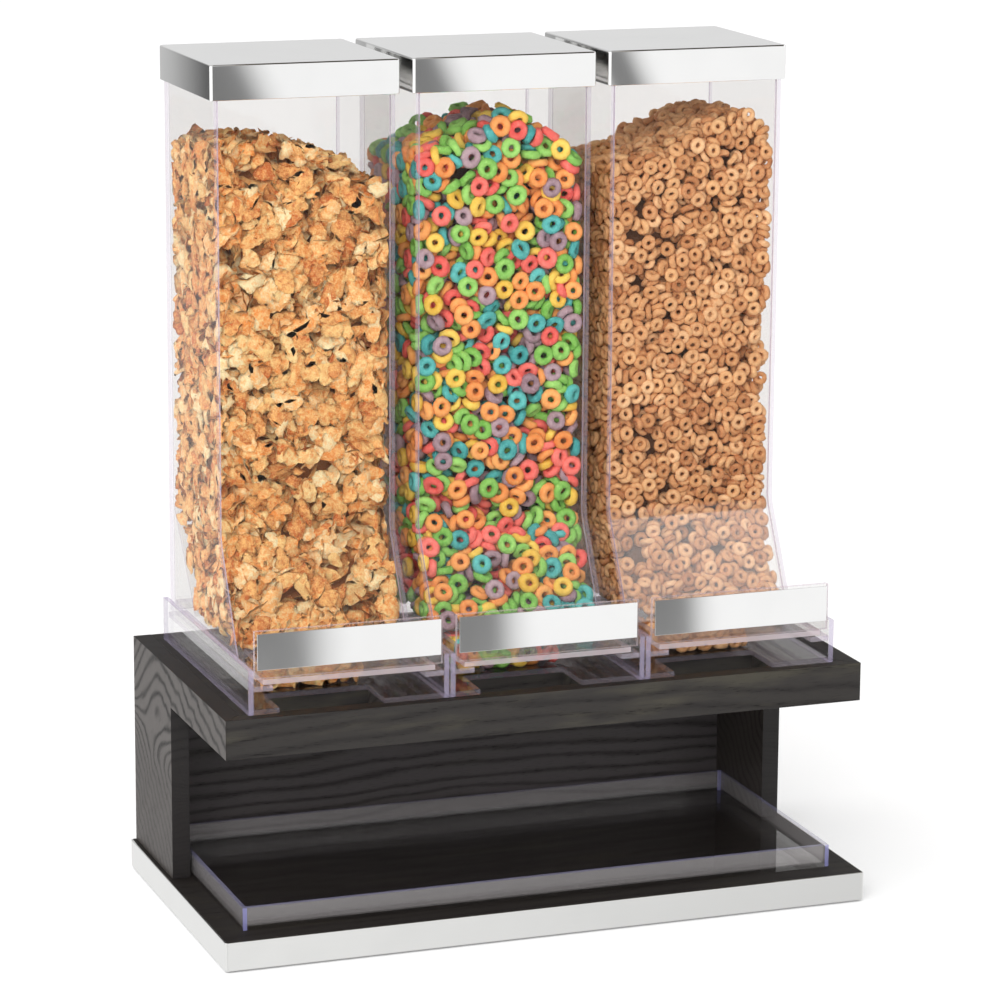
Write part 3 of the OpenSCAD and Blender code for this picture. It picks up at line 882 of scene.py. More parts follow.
def turned(rng: np.random.Generator, count: int) -> Array:
    """Gives random rotations as (count, 3, 3) matrices, from unit quaternions."""
    w, x, y, z = (q := rng.normal(size=(4, count))) / np.linalg.norm(q, axis=0)
    return np.stack([
        1 - 2 * (y * y + z * z), 2 * (x * y - w * z), 2 * (x * z + w * y),
        2 * (x * y + w * z), 1 - 2 * (x * x + z * z), 2 * (y * z - w * x),
        2 * (x * z - w * y), 2 * (y * z + w * x), 1 - 2 * (x * x + y * y),
    ], 1).reshape(count, 3, 3)


def facing(rng: np.random.Generator, normals: Array, spread: float) -> Array:
    """Gives rotations whose third axis lies near the given normals, turned at random about it."""
    w = normals + rng.normal(size=normals.shape) * spread
    w = w / np.linalg.norm(w, axis=1, keepdims=True)
    u = np.cross(w, rng.normal(size=w.shape))
    u = u / np.linalg.norm(u, axis=1, keepdims=True)
    return np.stack([u, np.cross(w, u), w], axis=2)


def close_pairs(p: Array, reach: float, owner: Array) -> tuple[Array, Array]:
    """Finds the balls of different pieces that are near each other.

    The balls are sorted by the cell of a grid that holds them; cells over each other have neighbouring numbers,
    so a ball meets a column of three cells as one range, and five columns cover each pair once.

    Args:
        p: (n, 3) centres.
        reach: the largest distance of a pair, and the cells' size.
        owner: (n,) the piece that each ball belongs to.

    Returns:
        The two balls of each pair.
    """
    cell = np.floor((p - p.min(axis=0)) / reach).astype(np.int64) + 1
    size = cell.max(axis=0) + 2
    key = (cell[:, 0] * size[1] + cell[:, 1]) * size[2] + cell[:, 2]
    order = np.argsort(key, kind="stable")
    keys = key[order]
    firsts, seconds = [], []
    for dx, dy in ((0, 0), (0, 1), (1, -1), (1, 0), (1, 1)):
        base = key + (dx * size[1] + dy) * size[2]
        start = np.searchsorted(keys, base - 1, "left")
        counts = np.searchsorted(keys, base + 1, "right") - start
        i = np.repeat(np.arange(len(p)), counts)
        within = np.arange(len(i)) - np.repeat(np.cumsum(counts) - counts, counts)
        j = order[np.repeat(start, counts) + within]
        keep = owner[i] != owner[j]
        if dx == 0 and dy == 0:
            keep &= i < j
        i, j = i[keep], j[keep]
        gap = p[i] - p[j]
        keep = np.einsum("ij,ij->i", gap, gap) < reach * reach
        firsts.append(i[keep])
        seconds.append(j[keep])
    return np.concatenate(firsts), np.concatenate(seconds)


@dataclass
class Packing:
    """Loose pieces laid at random in a room until they no longer lie in each other.

    Each piece is a few balls that keep their places to each other. In each round every pair of balls that overlap
    is pushed apart, the walls push back, and each piece takes the turn and place that fit its moved balls best.
    """

    room: Room
    balls: Array
    ball_r: float
    piece_volume: float
    share: float
    seed: int
    lying: float = 0.5
    rounds: int = 56

    def settle(self) -> tuple[Array, Array]:
        """Lays the pieces.

        Returns:
            (n, 3) places in mm and (n, 3, 3) turns.
        """
        rng = np.random.default_rng(self.seed)
        low, high = np.array(self.room.low), np.array(self.room.high)
        if isinstance(self.room, BinRoom):
            low[1] = self.room.front_profile[:, 1].min()
        tries = rng.uniform(low, high, size=(90000, 3))
        inside = self.room.holds(tries, 1.0)
        volume = np.prod(high - low) * inside.mean()
        pos = tries[inside][:int(self.share * volume / self.piece_volume)]
        count = len(pos)
        rot = turned(rng, count)
        normals, near = self.room.wall_normals(pos, 9.0)
        near &= rng.uniform(size=count) < self.lying
        rot[near] = facing(rng, normals[near], 0.22)
        owner = np.repeat(np.arange(count), len(self.balls))
        margin = self.ball_r * 0.5
        for turn in range(self.rounds):
            r = self.ball_r * min(1.0, 0.62 + 0.38 * turn / (0.55 * self.rounds))
            spots = pos[:, None, :] + np.einsum("nij,sj->nsi", rot, self.balls)
            p = spots.reshape(-1, 3)
            if turn % 6 == 0:
                i, j = close_pairs(p, 2 * self.ball_r + margin, owner)
            gap = p[i] - p[j]
            length = np.sqrt(np.einsum("ij,ij->i", gap, gap)) + 1e-9
            deep = np.maximum(2 * r - length, 0.0)
            push = gap * (0.5 * deep / length)[:, None]
            hit = deep > 0
            ends = np.concatenate([i, j])
            met = np.bincount(ends, np.concatenate([hit, hit]).astype(float), len(p))
            move = np.stack([
                np.bincount(ends, np.concatenate([push[:, a], -push[:, a]]), len(p)) for a in range(3)
            ], 1)
            p = p + move * (1.5 / np.maximum(met, 1.5))[:, None]
            p = self.room.push(p, r)
            spots = p.reshape(count, len(self.balls), 3)
            pos = spots.mean(axis=1)
            fit = np.einsum("nsi,sj->nij", spots - pos[:, None, :], self.balls)
            if np.abs(self.balls[:, 2]).max() < 1e-9:
                third = np.cross(fit[:, :, 0], fit[:, :, 1])
                fit[:, :, 2] += third / (np.linalg.norm(third, axis=1, keepdims=True) + 1e-9)
            u, _, vt = np.linalg.svd(fit)
            u[:, :, 2] *= np.sign(np.linalg.det(u @ vt))[:, None]
            rot = u @ vt
        return pos, rot


@dataclass(frozen=True)
class Blend:
    """One of the finishes that pieces of a filling take, and its share of them."""

    finish: Crumb
    share: float


@dataclass
class Morsel:
    """A kind of food: a few shapes with the same faces, and the balls that stand for one while it settles."""

    label: str
    blends: tuple[Blend, ...]
    piece_volume: float
    ball_r: float
    share: float
    lying: float

    def shapes(self) -> tuple[Array, Array]:
        """Gives (k, v, 3) points in mm and (f, 4) faces."""
        raise NotImplementedError

    def balls(self) -> Array:
        """Gives (s, 3) centres of the balls."""
        raise NotImplementedError

    def lay(self, name: str, room: Room, body: str, seed: int, rounds: int = 56, crowd: float = 1.0) -> None:
        """Settles pieces in a room and builds one object for each blend.

        Args:
            name: start of the pieces' names.
            room: the space to fill.
            body: the CAD body that they ride on.
            seed: the packing's seed.
            rounds: rounds of settling.
            crowd: how much denser than usual.
        """
        packing = Packing(room, self.balls(), self.ball_r, self.piece_volume, self.share * crowd, seed,
                          self.lying, rounds)
        pos, rot = packing.settle()
        rng = np.random.default_rng(seed + 900)
        points, faces = self.shapes()
        kind = rng.integers(0, len(points), len(pos))
        size = rng.uniform(0.93, 1.06, (len(pos), 1, 1))
        tone = rng.uniform(0.0, 1.0, len(pos))
        places = self.trim(pos[:, None, :] + np.einsum("nij,nvj->nvi", rot, points[kind] * size), room)
        shares = np.cumsum([b.share for b in self.blends])
        pick = np.searchsorted(shares / shares[-1], rng.uniform(size=len(pos)), "right")
        for number, blend in enumerate(self.blends):
            chosen = places[pick == number]
            if not len(chosen):
                continue
            per = points.shape[1]
            offsets = (np.arange(len(chosen)) * per)[:, None, None]
            tones = np.repeat(tone[pick == number], per)
            piece = mesh_object(f"{name}_{number + 1}", chosen.reshape(-1, 3) * MM,
                                (faces[None] + offsets).reshape(-1, 4), tone=tones)
            dress(piece, blend.finish, body, self.label)
        log.info("%s: %d pieces of food", name, len(pos))

    def trim(self, places: Array, room: Room) -> Array:
        """Keeps the finished shapes off the walls: each point that stands out is set back on the wall."""
        flat = places.reshape(-1, 3)
        if isinstance(room, BinRoom):
            flat = flat.copy()
            front = room.front(flat[:, 2]) + 0.3
            flat[:, 1] = np.clip(flat[:, 1], front, room.high[1] - 0.3)
            flat[:, 0] = np.clip(flat[:, 0], room.low[0] + 0.3, room.high[0] - 0.3)
            flat[:, 2] = np.maximum(flat[:, 2], room.low[2] + 0.2)
        else:
            flat = np.clip(flat, np.array(room.low) + 0.2, np.array(room.high) - 0.2)
        return flat.reshape(places.shape)


@dataclass
class RingMorsel(Morsel):
    """A baked ring."""

    ring_r: float = 5.3
    tube_r: float = 2.5
    height_r: float = 2.6
    round_steps: int = 11
    tube_steps: int = 6

    def balls(self) -> Array:
        """Puts six balls round the ring's middle line and one in its hole, so that no ring threads another."""
        a = np.arange(6) * math.pi / 3
        return np.vstack([np.stack([np.cos(a), np.sin(a), 0 * a], 1) * self.ring_r, np.zeros((1, 3))])

    def shapes(self) -> tuple[Array, Array]:
        """Makes uneven tori.

        With s round the ring and t round its tube, a point is ((R + w a cos t) cos s, (R + w a cos t) sin s,
        w h sin t + bend), where w = 1 + a few waves of s and t, and bend is a slow wave of s.
        """
        rng = np.random.default_rng(5)
        s, t = np.meshgrid(np.linspace(0, 2 * math.pi, self.round_steps, endpoint=False),
                           np.linspace(0, 2 * math.pi, self.tube_steps, endpoint=False), indexing="ij")
        made = []
        for _ in range(8):
            k = rng.uniform(0, 2 * math.pi, 5)
            w = (1 + 0.09 * np.sin(s + k[0]) + 0.06 * np.sin(2 * s + k[1]) + 0.05 * np.sin(3 * s + 2 * t + k[2])
                 + 0.04 * np.sin(5 * s - t + k[3]))
            out = self.ring_r * (1 + 0.035 * np.sin(2 * s + k[4])) + w * self.tube_r * np.cos(t)
            z = w * self.height_r * np.sin(t) + 0.25 * np.sin(2 * s + k[1])
            made.append(np.stack([out * np.cos(s), out * np.sin(s), z], 2).reshape(-1, 3))
        return np.array(made), grid_faces(self.round_steps, self.tube_steps, True, True)[:, ::-1]


@dataclass
class FlakeMorsel(Morsel):
    """A curled, blistered flake."""

    length_r: float = 9.4
    width_r: float = 7.0
    thickness: float = 0.7
    steps: int = 6

    def balls(self) -> Array:
        """Puts one ball in the middle and four near the rim."""
        return np.array([[0, 0, 0], [0.62, 0, 0], [-0.62, 0, 0], [0, 0.55, 0], [0, -0.55, 0]]) * self.length_r

    def shapes(self) -> tuple[Array, Array]:
        """Makes thin curled leaves.

        A square grid (a, b) in [-1, 1] is rounded to a disc by x = a sqrt(1 - b^2/2), y = b sqrt(1 - a^2/2), its
        rim is waved and torn, and the height is a saddle, a cup, slow blisters and a crumple at random; the upper
        and lower skins lie half a thickness off it and come close at the rim.
        """
        rng = np.random.default_rng(11)
        line = np.linspace(-1, 1, self.steps)
        a, b = np.meshgrid(line, line, indexing="ij")
        x0, y0 = a * np.sqrt(1 - b * b / 2), b * np.sqrt(1 - a * a / 2)
        turn, out = np.arctan2(y0, x0), np.hypot(x0, y0)
        rim = (np.maximum(np.abs(a), np.abs(b)) > 0.999)
        made = []
        for _ in range(14):
            k = rng.uniform(0, 2 * math.pi, 8)
            size = rng.uniform(0.72, 1.12)
            edge = (1 + 0.16 * np.sin(2 * turn + k[0]) + 0.13 * np.sin(3 * turn + k[1])
                    + 0.10 * np.sin(5 * turn + k[2]))
            edge = edge + rng.uniform(-0.07, 0.07, edge.shape)
            x = x0 * edge * self.length_r * size
            y = y0 * edge * self.width_r * size
            z = (rng.uniform(0.6, 3.6) * out ** 2 + rng.uniform(-2.2, 2.2) * x0 * y0
                 + rng.uniform(-1.8, 1.8) * (x0 ** 2 - y0 ** 2)
                 + 0.8 * np.sin(3.1 * x0 + k[3]) * np.sin(3.7 * y0 + k[4])
                 + rng.uniform(-0.6, 0.6, x0.shape)) * size
            z = z - z.mean()
            half = np.where(rim, 0.12, 0.5) * self.thickness
            upper = np.stack([x, y, z + half], 2).reshape(-1, 3)
            lower = np.stack([x, y, z - half], 2).reshape(-1, 3)
            made.append(np.concatenate([upper, lower]))
        quads = grid_faces(self.steps, self.steps)
        n = self.steps
        loop = np.concatenate([
            np.arange(n) * n, (n - 1) * n + np.arange(1, n), (n - 2 - np.arange(n - 1)) * n + n - 1,
            np.arange(n - 2, 0, -1),
        ])
        after = np.roll(loop, -1)
        sides = np.stack([loop, after, after + n * n, loop + n * n], 1)
        return np.array(made), np.concatenate([quads[:, ::-1], quads + n * n, sides])


# ---- Sub-assemblies ----


@dataclass
class Stand:
    """The C-shaped stand with its steel band, feet and screws."""

    wood_bevel: float = 0.5
    width: float = 490.0
    depth: float = 254.0
    band_low: float = 1.5
    band_top: float = 22.5
    band_t: float = 1.2
    band_r: float = 2.0
    band_edge_r: float = 0.45

    def boards(self) -> None:
        """Breaks the edges of the boards and stains them."""
        plain = StainedOak("oak_along_x")
        # The end panels' lighter wood colours are their stain together with a painted sheen, and painted shade
        # darkens their faces that face up, to the front and to the back.
        arched = StainedOak("oak_arched", Grain.ARCHED, early=(0.060, 0.051, 0.046), late=(0.014, 0.011, 0.010),
                            pore=(0.016, 0.013, 0.012), patch=(0.068, 0.058, 0.052), patches=0.25,
                            spacing=0.0135, contrast=0.95, lacquer=0.3, painted_shade_share=0.92)
        # The back panel's lighter colours are painted light that makes up for the shade it stands in.
        back = StainedOak("oak_back", early=(0.090, 0.080, 0.082), late=(0.030, 0.025, 0.025), patches=0.15,
                          contrast=0.75)
        for node, oak in {"end_panel_left": arched, "end_panel_right": arched, "top_board": plain,
                          "front_apron": plain, "back_panel": back, "base_board": plain}.items():
            dress(softened(f"{node}_oak", node, self.wood_bevel, 0.015, 2), oak, "stand", "dark_oak", node)

    def band(self) -> None:
        """Sweeps the steel band's section, with rounded edges, round the base."""
        r, low, top, t = self.band_edge_r, self.band_low, self.band_top, self.band_t
        arc = np.linspace(0, math.pi / 2, 4)
        sin, cos = r * np.sin(arc), r * np.cos(arc)
        section = np.concatenate([
            np.stack([r - cos, top - r + sin], 1), np.stack([t - r + sin, top - r + cos], 1),
            np.stack([t - r + cos, low + r - sin], 1), np.stack([r - sin, low + r - cos], 1),
        ])
        half = (self.width / 2, self.depth / 2)
        band = swept_ring("base_band_steel", (0, 0), half, self.band_r, section, True)
        steel = PolishedSteel("satin_steel", base=(0.86, 0.86, 0.845), rough=0.15)
        dress(band, steel, "stand", "polished_steel", "base_band")

    def build(self) -> None:
        """Builds the stand."""
        self.boards()
        self.band()
        refinished("feet", RUBBER)
        refinished("stand_screws", ZINC)


def sheet_finishes() -> dict[str, ClearAcrylic]:
    """Gives the finish of each clear sheet by its CAD node's name, with {n} for the bay's number."""
    side = ClearAcrylic("acrylic_side", Faces.X, edge_body=0.16, mirror=0.35)
    wall = ClearAcrylic("acrylic_bay_wall", Faces.X, edge=(0.45, 0.40, 0.56), edge_body=0.40, mirror=1.2)
    return {
        "bay_{n}_floor": ClearAcrylic("acrylic_bay_floor", Faces.Z, edge_body=0.10, mirror=0.9),
        "bay_{n}_wall_left": wall,
        "bay_{n}_wall_right": wall,
        "bay_{n}_rails": ClearAcrylic("acrylic_rails", Faces.Z, edge_body=0.25),
        "slide_{n}_plate": ClearAcrylic("acrylic_slide", Faces.Z, edge=(0.58, 0.50, 0.52), edge_body=0.5),
        "slide_{n}_chamber": ClearAcrylic("acrylic_chamber", Faces.BOX, mirror=0.5),
        "slide_{n}_handle": ClearAcrylic("acrylic_handle", Faces.Y, edge=(0.70, 0.62, 0.66), edge_body=0.40,
                                         mirror=0.8),
        "bin_{n}_front": ClearAcrylic("acrylic_front", Faces.LEANING, edge=(0.52, 0.44, 0.54), edge_body=0.55,
                                      mirror=0.22),
        "bin_{n}_side_left": side,
        "bin_{n}_side_right": side,
        "bin_{n}_back": ClearAcrylic("acrylic_back", Faces.Y, edge_body=0.30, mirror=0.8),
        "bin_{n}_ramp": ClearAcrylic("acrylic_ramp", Faces.LEANING, edge_body=0.10),
        "bin_{n}_floor": ClearAcrylic("acrylic_bin_floor", Faces.Z, edge_body=0.10),
    }


@dataclass
class ClearSheets:
    """All the clear sheets: bays, slides, bins and the crumb tray."""

    bevel: float = 0.25
    inset: float = 0.02
    front_mirrors: Triple = (0.3, 0.5, 1.7)
    sheets: dict[str, ClearAcrylic] = field(default_factory=sheet_finishes)
    # The tray's upright walls take a painted reflection.
    tray: ClearAcrylic = ClearAcrylic("acrylic_tray", Faces.BOX, edge=(0.30, 0.30, 0.60), edge_body=0.55,
                                      mirror=0.7, leaning_mirror=0.75, box_top_mm=39.5, box_half_mm=225.9,
                                      top_share=0.4, painted_reflection_share=0.085)

    def build(self) -> None:
        """Polishes every sheet; the bins' fronts mirror more from left to right."""
        for number, leaning in enumerate(self.front_mirrors, 1):
            bodies = {"bay": "stand", "slide": f"portion_slide_{number}", "bin": f"bin_{number}"}
            for pattern, finish in self.sheets.items():
                node = pattern.format(n=number)
                if finish.name == "acrylic_front":
                    finish = replace(finish, name=f"acrylic_front_{number}", leaning_mirror=leaning)
                self.polish(node, finish, bodies[node.split("_")[0]])
        self.polish("crumb_tray", self.tray, "crumb_tray")

    def polish(self, node: str, finish: ClearAcrylic, body: str) -> None:
        """Breaks a sheet's edges and finishes it."""
        dress(softened(f"{node}_clear", node, self.bevel, self.inset), finish, body, "clear_acrylic", node)


@dataclass
class Facing:
    """The steel sheet on a handle."""

    number: int
    slope: float
    roll: float = 74.0

    def build(self) -> None:
        """Breaks the sheet's edges and polishes it."""
        node = f"slide_{self.number}_facing"
        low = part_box(node)[0] * 1000
        finish = PolishedSteel(f"facing_steel_{self.number}", low.x, low.z, low.y, self.roll, 0.05, self.slope)
        dress(softened(f"{node}_steel", node, 0.25, 0.0, 2), finish, f"portion_slide_{self.number}",
              "polished_steel", node)


@dataclass
class Lid:
    """A pressed steel lid with its gasket."""

    number: int
    slope: float
    front_y: float = -15.2
    back_y: float = 117.7
    half_w: float = 69.5
    low_z: float = 597.0
    top_z: float = 622.0
    sheet: float = 1.2
    hem: float = 0.25
    corner_r: float = 2.4
    edge_r: float = 1.5
    roll: float = 60.0
    side_slope: float = 0.13

    def shell(self) -> Array:
        """Gives the lid's section: from inside the top over its rounded edge, down the skirt and back inside.

        Returns:
            (k, 2) insets and heights in mm.
        """
        arc = np.linspace(0, math.pi / 2, 5)
        r, top, low, t, hem = self.edge_r, self.top_z, self.low_z, self.sheet, self.hem
        half = self.half_w - 3.0
        return np.concatenate([
            [[half, top], [30.0, top], [r + 1.0, top]],
            np.stack([r - r * np.sin(arc), top - r + r * np.cos(arc)], 1),
            [[0.0, low + hem], [hem, low], [t - hem, low], [t, low + hem],
             [t, top - t - 0.3], [t + 0.3, top - t], [30.0, top - t], [half, top - t]],
        ])

    def build(self) -> None:
        """Builds the lid and finishes its gasket."""
        x, y = (self.number - 2) * PITCH, (self.front_y + self.back_y) / 2
        piece = swept_ring(f"lid_{self.number}_steel", (x, y), (self.half_w, (self.back_y - self.front_y) / 2),
                           self.corner_r, self.shell(), False)
        finish = PolishedSteel(f"lid_steel_{self.number}", x - self.half_w, self.low_z, self.front_y, self.roll,
                               slope=self.slope, side_slope=self.side_slope)
        dress(piece, finish, f"lid_{self.number}", "polished_steel", f"lid_{self.number}_cover")
        refinished(f"lid_{self.number}_gasket", SILICONE)


@dataclass
class Filling:
    """The food in one bin and the portion in its chamber."""

    number: int
    morsel: Morsel
    heap: tuple[tuple[float, float], ...]
    shell: float
    # Dark colour of the core: painted shade for the deep gaps between pieces.
    core_painted_shade: Triple
    half_w: float = 63.6
    back_y: float = 111.8
    floor_z: float = 209.9

    @staticmethod
    def front_line() -> Array:
        """Gives the inner face of a bin's front from the floor up, as (height, depth) in mm.

        Below, the face leans on a straight line; then an arc of radius 31.2 turns it upright.
        """
        angle = math.atan2(40.0, 76.0)
        bend_y, bend_z = -12.5 - 28.0, 206.7 + 76.0 + 28.0 * math.tan(angle / 2)
        a = np.linspace(angle, 0, 13)
        arc = np.stack([bend_z - 31.2 * np.sin(a), bend_y + 31.2 * np.cos(a)], 1)
        return np.concatenate([[[206.7, -48.88]], arc, [[640.0, -9.3]]])

    def build(self) -> None:
        """Fills the bin, hides its core and fills the chamber."""
        x, label = (self.number - 2) * PITCH, self.morsel.label
        top = max(h for _, h in self.heap) + 12
        room = BinRoom(
            (x - self.half_w, -9.3, self.floor_z), (x + self.half_w, self.back_y, top),
            front_profile=self.front_line(), heap=np.array(self.heap), seed=self.number, shell=self.shell,
        )
        self.morsel.lay(f"{label}_{self.number}", room, f"bin_{self.number}", 40 + self.number)
        # The core's dark colour is painted shade for the deep gaps between pieces.
        dark = Crumb(f"{label}_core", self.core_painted_shade, self.core_painted_shade, self.core_painted_shade)
        dress(room.core(f"{label}_core_{self.number}"), dark, f"bin_{self.number}", label)
        chamber = Room((x - 50.7, -68.7, 185.5), (x + 25.0, -23.0, 206.2))
        self.morsel.lay(f"portion_{self.number}", chamber, f"portion_slide_{self.number}", 70 + self.number,
                        rounds=40, crowd=1.6)


# ---- Studio ----


@dataclass(frozen=True)
class Studio:
    """Floor, lamps, surroundings and camera; angles in degrees, the camera's place in metres."""

    lens: float = 145.61
    yaw: float = -20.154
    pitch: float = 12.895
    roll: float = 0.380
    place: Triple = (-0.99033, -2.70754, 0.95456)
    day: float = 0.80
    key_place: Triple = (-1.2, -2.2, 1.7)
    key_watts: float = 38.0

    def camera(self) -> None:
        """Sets the camera up at the photograph's viewpoint."""
        yaw, pitch, roll = (math.radians(v) for v in (self.yaw, self.pitch, self.roll))
        forward = Vector((-math.sin(yaw) * math.cos(pitch), math.cos(yaw) * math.cos(pitch), -math.sin(pitch)))
        right = Vector((math.cos(yaw), math.sin(yaw), 0.0))
        up = right.cross(forward)
        across = right * math.cos(roll) + up * math.sin(roll)
        upright = up * math.cos(roll) - right * math.sin(roll)
        data = bpy.data.cameras.new("camera")
        data.lens = self.lens
        data.sensor_width = 36.0
        data.clip_end = 60.0
        made = linked("camera", data)
        turn = Matrix((across, upright, -forward)).transposed().to_4x4()
        made.matrix_world = Matrix.Translation(self.place) @ turn
        bpy.context.scene.camera = made

    @staticmethod
    def seen(g: Graph, path: bpy.types.Node) -> Term:
        """Gives 1 on rays that end in the picture, straight or through clear sheet."""
        return Term(g, path.outputs["Is Camera Ray"]).most(Term(g, path.outputs["Is Transmission Ray"]))

    def floor(self) -> None:
        """Lays a pale floor that keeps the object's shadow and reads as white round it."""
        points = np.array([[-9, -9, 0], [9, -9, 0], [9, 9, 0], [-9, 9, 0]], float)
        floor = mesh_object("studio_floor", points, np.array([[0, 1, 2, 3]]), False)
        floor.visible_glossy = False
        made = bpy.data.materials.new("studio_floor")
        made.use_nodes = True
        g = Graph(made.node_tree)
        seen = self.seen(g, g.node("ShaderNodeLightPath"))
        pale = g.shader("BsdfDiffuse", {"Color": (0.86, 0.86, 0.86, 1.0)})
        glow = g.shader("Emission", {"Color": WHITE, "Strength": seen * 0.15})
        g.surface(g.shader("AddShader", {0: pale, 1: glow}))
        floor.data.materials.append(made)

    def surroundings(self) -> None:
        """Makes a white room; what shines reflects its dark and bright sides, and the rest gets plain light."""
        world = bpy.data.worlds.new("studio")
        bpy.context.scene.world = world
        world.use_nodes = True
        g = Graph(world.node_tree)
        path = g.node("ShaderNodeLightPath")
        x, y, z = g.split(g.node("ShaderNodeTexCoord").outputs["Generated"])
        turn = x.math("ARCTAN2", y * -1.0) * (0.5 / math.pi) + 0.5

        def around(shades: Sequence[tuple[float, float]]) -> Term:
            """Gives a brightness by the compass, in degrees from the front to the right."""
            stops = [(a / 360 + 0.5, (v, v, v)) for a, v in shades]
            return g.term("ShaderNodeValToRGB", {"stops": stops}, {0: turn})

        level = around([(-180, 0.74), (-168, 0.62), (-161, 0.47), (-150, 0.11), (-132, 0.18), (-120, 1.5),
                        (-45, 1.5), (-30, 0.25), (2, 0.19), (8, 0.24), (12.5, 0.78), (16, 1.0), (80, 1.0),
                        (130, 0.80), (150, 0.74), (179, 0.74)])
        ground = around([(-180, 0.9), (-160, 0.90), (-90, 0.9), (0, 0.95), (16, 0.93), (20, 0.84), (26, 0.58),
                         (60, 0.8), (179, 0.9)])
        down, front, left = z * -1.0, y * -1.0, x * -1.0
        low = down.step(0.288, 0.306).most(down.step(0.150, 0.175) * y.step(0.2, 0.4))
        high = z.step(0.33, 0.42)
        box = z.step(0.56, 0.62) * (1.0 - z.step(0.70, 0.76)) * (1.0 - y.step(-0.35, -0.1))
        box = box * (0.35 + x.step(0.33, 0.41) * 2.3)
        dusk = z.step(0.64, 0.72) * x.step(0.10, 0.25)
        shine = level * (1.0 - low) * (1.0 - high) + ground * low + high * (0.62 - dusk * 0.56 + box)
        sides = 1.0 + front.step(0.0, 1.0) * 0.25 + left.step(0.1, 1.0) * 1.7
        plain = self.day * (0.90 + z.step(-0.3, 0.9) * 0.12) * sides
        seen, glossy = self.seen(g, path), Term(g, path.outputs["Is Glossy Ray"])
        strength = seen + (1.0 - seen) * (glossy * shine + (1.0 - glossy) * plain)
        tint = g.mix(dusk * glossy * (1.0 - box.clamped()), (1.0, 1.0, 1.0), (1.0, 0.82, 0.62))
        g.surface(g.shader("Background", {"Color": tint, "Strength": strength}), "OutputWorld")

    def lamps(self) -> None:
        """Hangs a large soft lamp in front, above and to the left."""
        data = bpy.data.lights.new("key", "AREA")
        data.shape = "RECTANGLE"
        data.size, data.size_y = 1.6, 1.2
        data.energy = self.key_watts
        key = linked("key", data)
        key.location = self.key_place
        key.rotation_euler = (Vector((0, 0, 0.35)) - key.location).to_track_quat("-Z", "Y").to_euler()
        key.visible_glossy = key.visible_transmission = False

    def build(self) -> None:
        """Builds the studio."""
        scene = bpy.context.scene
        scene.view_settings.view_transform = "Standard"
        scene.cycles.transparent_max_bounces = 40
        scene.cycles.max_bounces = 16
        scene.cycles.glossy_bounces = 8
        scene.cycles.use_denoising = True
        self.camera()
        self.floor()
        self.surroundings()
        self.lamps()
        log.info("studio ready; denoising %s", scene.cycles.use_denoising)


# ---- The whole ----


def corn_flakes() -> FlakeMorsel:
    """Gives the flakes in their four tones of dark, light and pale speck; the pale specks are painted highlights.
    """
    # The third colour of each tone is the pale speck, a painted highlight on the flakes.
    tones = {
        "gold": ((0.88, 0.30, 0.06), (1.0, 0.72, 0.32), (1.0, 0.92, 0.66), 0.26),
        "amber": ((0.78, 0.25, 0.05), (1.0, 0.66, 0.26), (1.0, 0.90, 0.62), 0.25),
        "pale": ((0.98, 0.46, 0.14), (1.0, 0.84, 0.48), (1.0, 0.95, 0.76), 0.27),
        "toast": ((0.62, 0.15, 0.03), (1.0, 0.56, 0.19), (1.0, 0.82, 0.50), 0.22),
    }
    blends = tuple(
        Blend(Crumb(f"flake_{n}", dark, light, speck_and_highlight, 900.0, 300.0, 0.0020, 0.35, 2.3), share)
        for n, (dark, light, speck_and_highlight, share) in tones.items()
    )
    return FlakeMorsel("corn_flakes", blends, piece_volume=790.0, ball_r=1.4, share=1.55, lying=0.62)


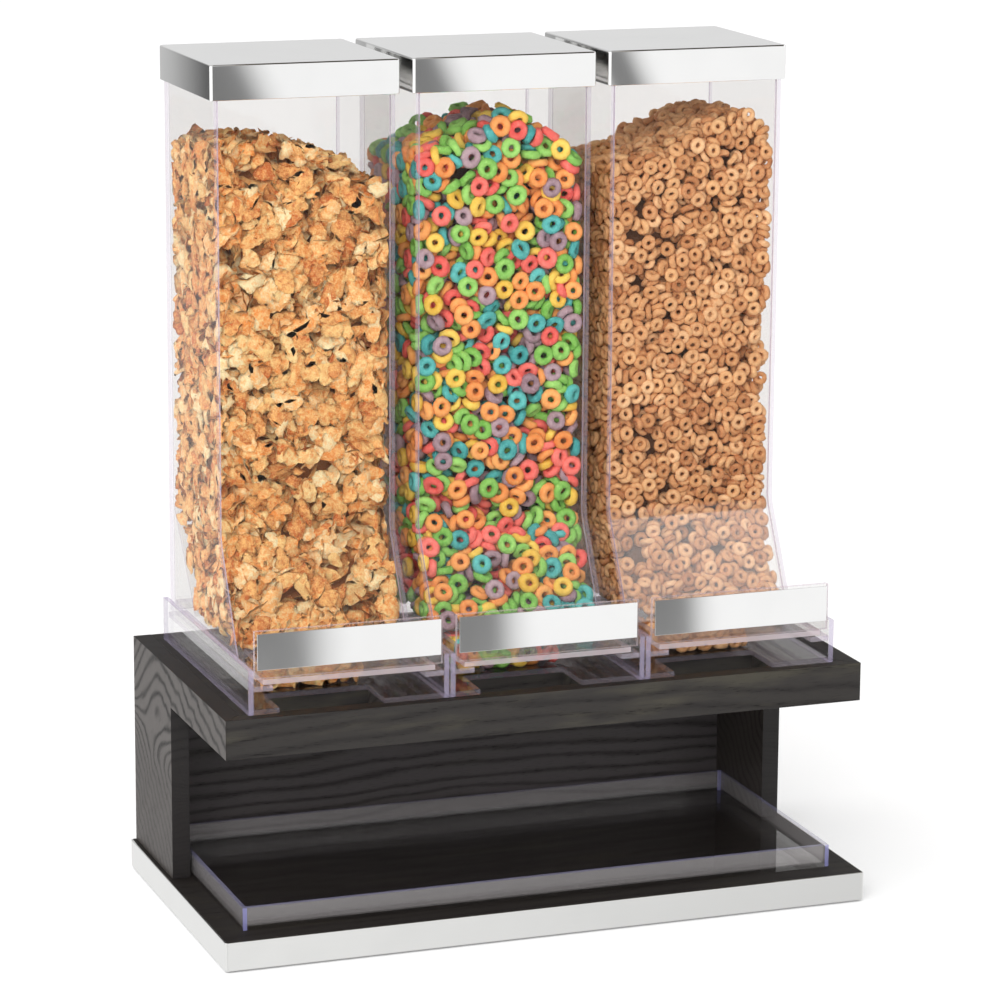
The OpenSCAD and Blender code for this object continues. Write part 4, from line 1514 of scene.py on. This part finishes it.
def coloured_rings() -> RingMorsel:
    """Gives the rings in their six colours of dark and light; the specks are paler than the light."""
    colours = {
        "green": ((0.14, 0.40, 0.05), (0.38, 0.72, 0.18), 0.22),
        "orange": ((0.78, 0.23, 0.05), (1.0, 0.48, 0.15), 0.23),
        "yellow": ((0.74, 0.42, 0.04), (0.98, 0.70, 0.14), 0.14),
        "teal": ((0.03, 0.27, 0.27), (0.14, 0.58, 0.54), 0.11),
        "coral": ((0.72, 0.07, 0.06), (1.0, 0.25, 0.20), 0.17),
        "mauve": ((0.25, 0.15, 0.18), (0.52, 0.37, 0.41), 0.13),
    }
    blends = tuple(
        Blend(Crumb(f"ring_{n}", dark, light, tuple(min(1.0, v * 1.12 + 0.10) for v in light), 700.0, 200.0,
                    0.0003), share)
        for n, (dark, light, share) in colours.items()
    )
    return RingMorsel("coloured_rings", blends, piece_volume=1000.0, ball_r=2.9, share=0.86, lying=0.45,
                      ring_r=4.9, tube_r=2.85, height_r=3.1)


def oat_rings() -> RingMorsel:
    """Gives the oat rings in four tones of dark, light and speck."""
    tones = {
        "tan": ((0.52, 0.20, 0.075), (0.84, 0.48, 0.22), (0.95, 0.68, 0.42)),
        "gold": ((0.56, 0.24, 0.09), (0.86, 0.52, 0.25), (0.97, 0.72, 0.46)),
        "pale": ((0.60, 0.28, 0.11), (0.92, 0.58, 0.31), (0.98, 0.76, 0.52)),
        "brown": ((0.40, 0.14, 0.045), (0.74, 0.38, 0.16), (0.88, 0.58, 0.34)),
    }
    blends = tuple(Blend(Crumb(f"oat_{n}", *shades), 0.25) for n, shades in tones.items())
    return RingMorsel("oat_rings", blends, piece_volume=428.0, ball_r=2.2, share=0.84, lying=0.45, ring_r=3.65,
                      tube_r=2.25, height_r=2.35, round_steps=10)


def main() -> None:
    """Builds the sub-assemblies in order."""
    logging.basicConfig(level=logging.INFO, format="%(name)s: %(message)s")
    Studio().build()
    Stand().build()
    ClearSheets().build()
    for number, slope in enumerate((0.140, 0.166, 0.190), 1):
        Facing(number, slope).build()
        Lid(number, slope).build()
    # Each filling's last colour is the core's painted shade.
    Filling(1, corn_flakes(), ((-64, 563), (-12, 567), (30, 553), (64, 531)), 16.5, (0.42, 0.16, 0.05)).build()
    Filling(2, coloured_rings(), ((-64, 552), (-25, 569), (12, 582), (32, 574), (64, 547)), 24.0,
            (0.10, 0.045, 0.03)).build()
    Filling(3, oat_rings(), ((-64, 538), (-20, 551), (15, 569), (42, 577), (64, 556)), 16.0,
            (0.16, 0.07, 0.03)).build()


if __name__ == "__main__":
    main()
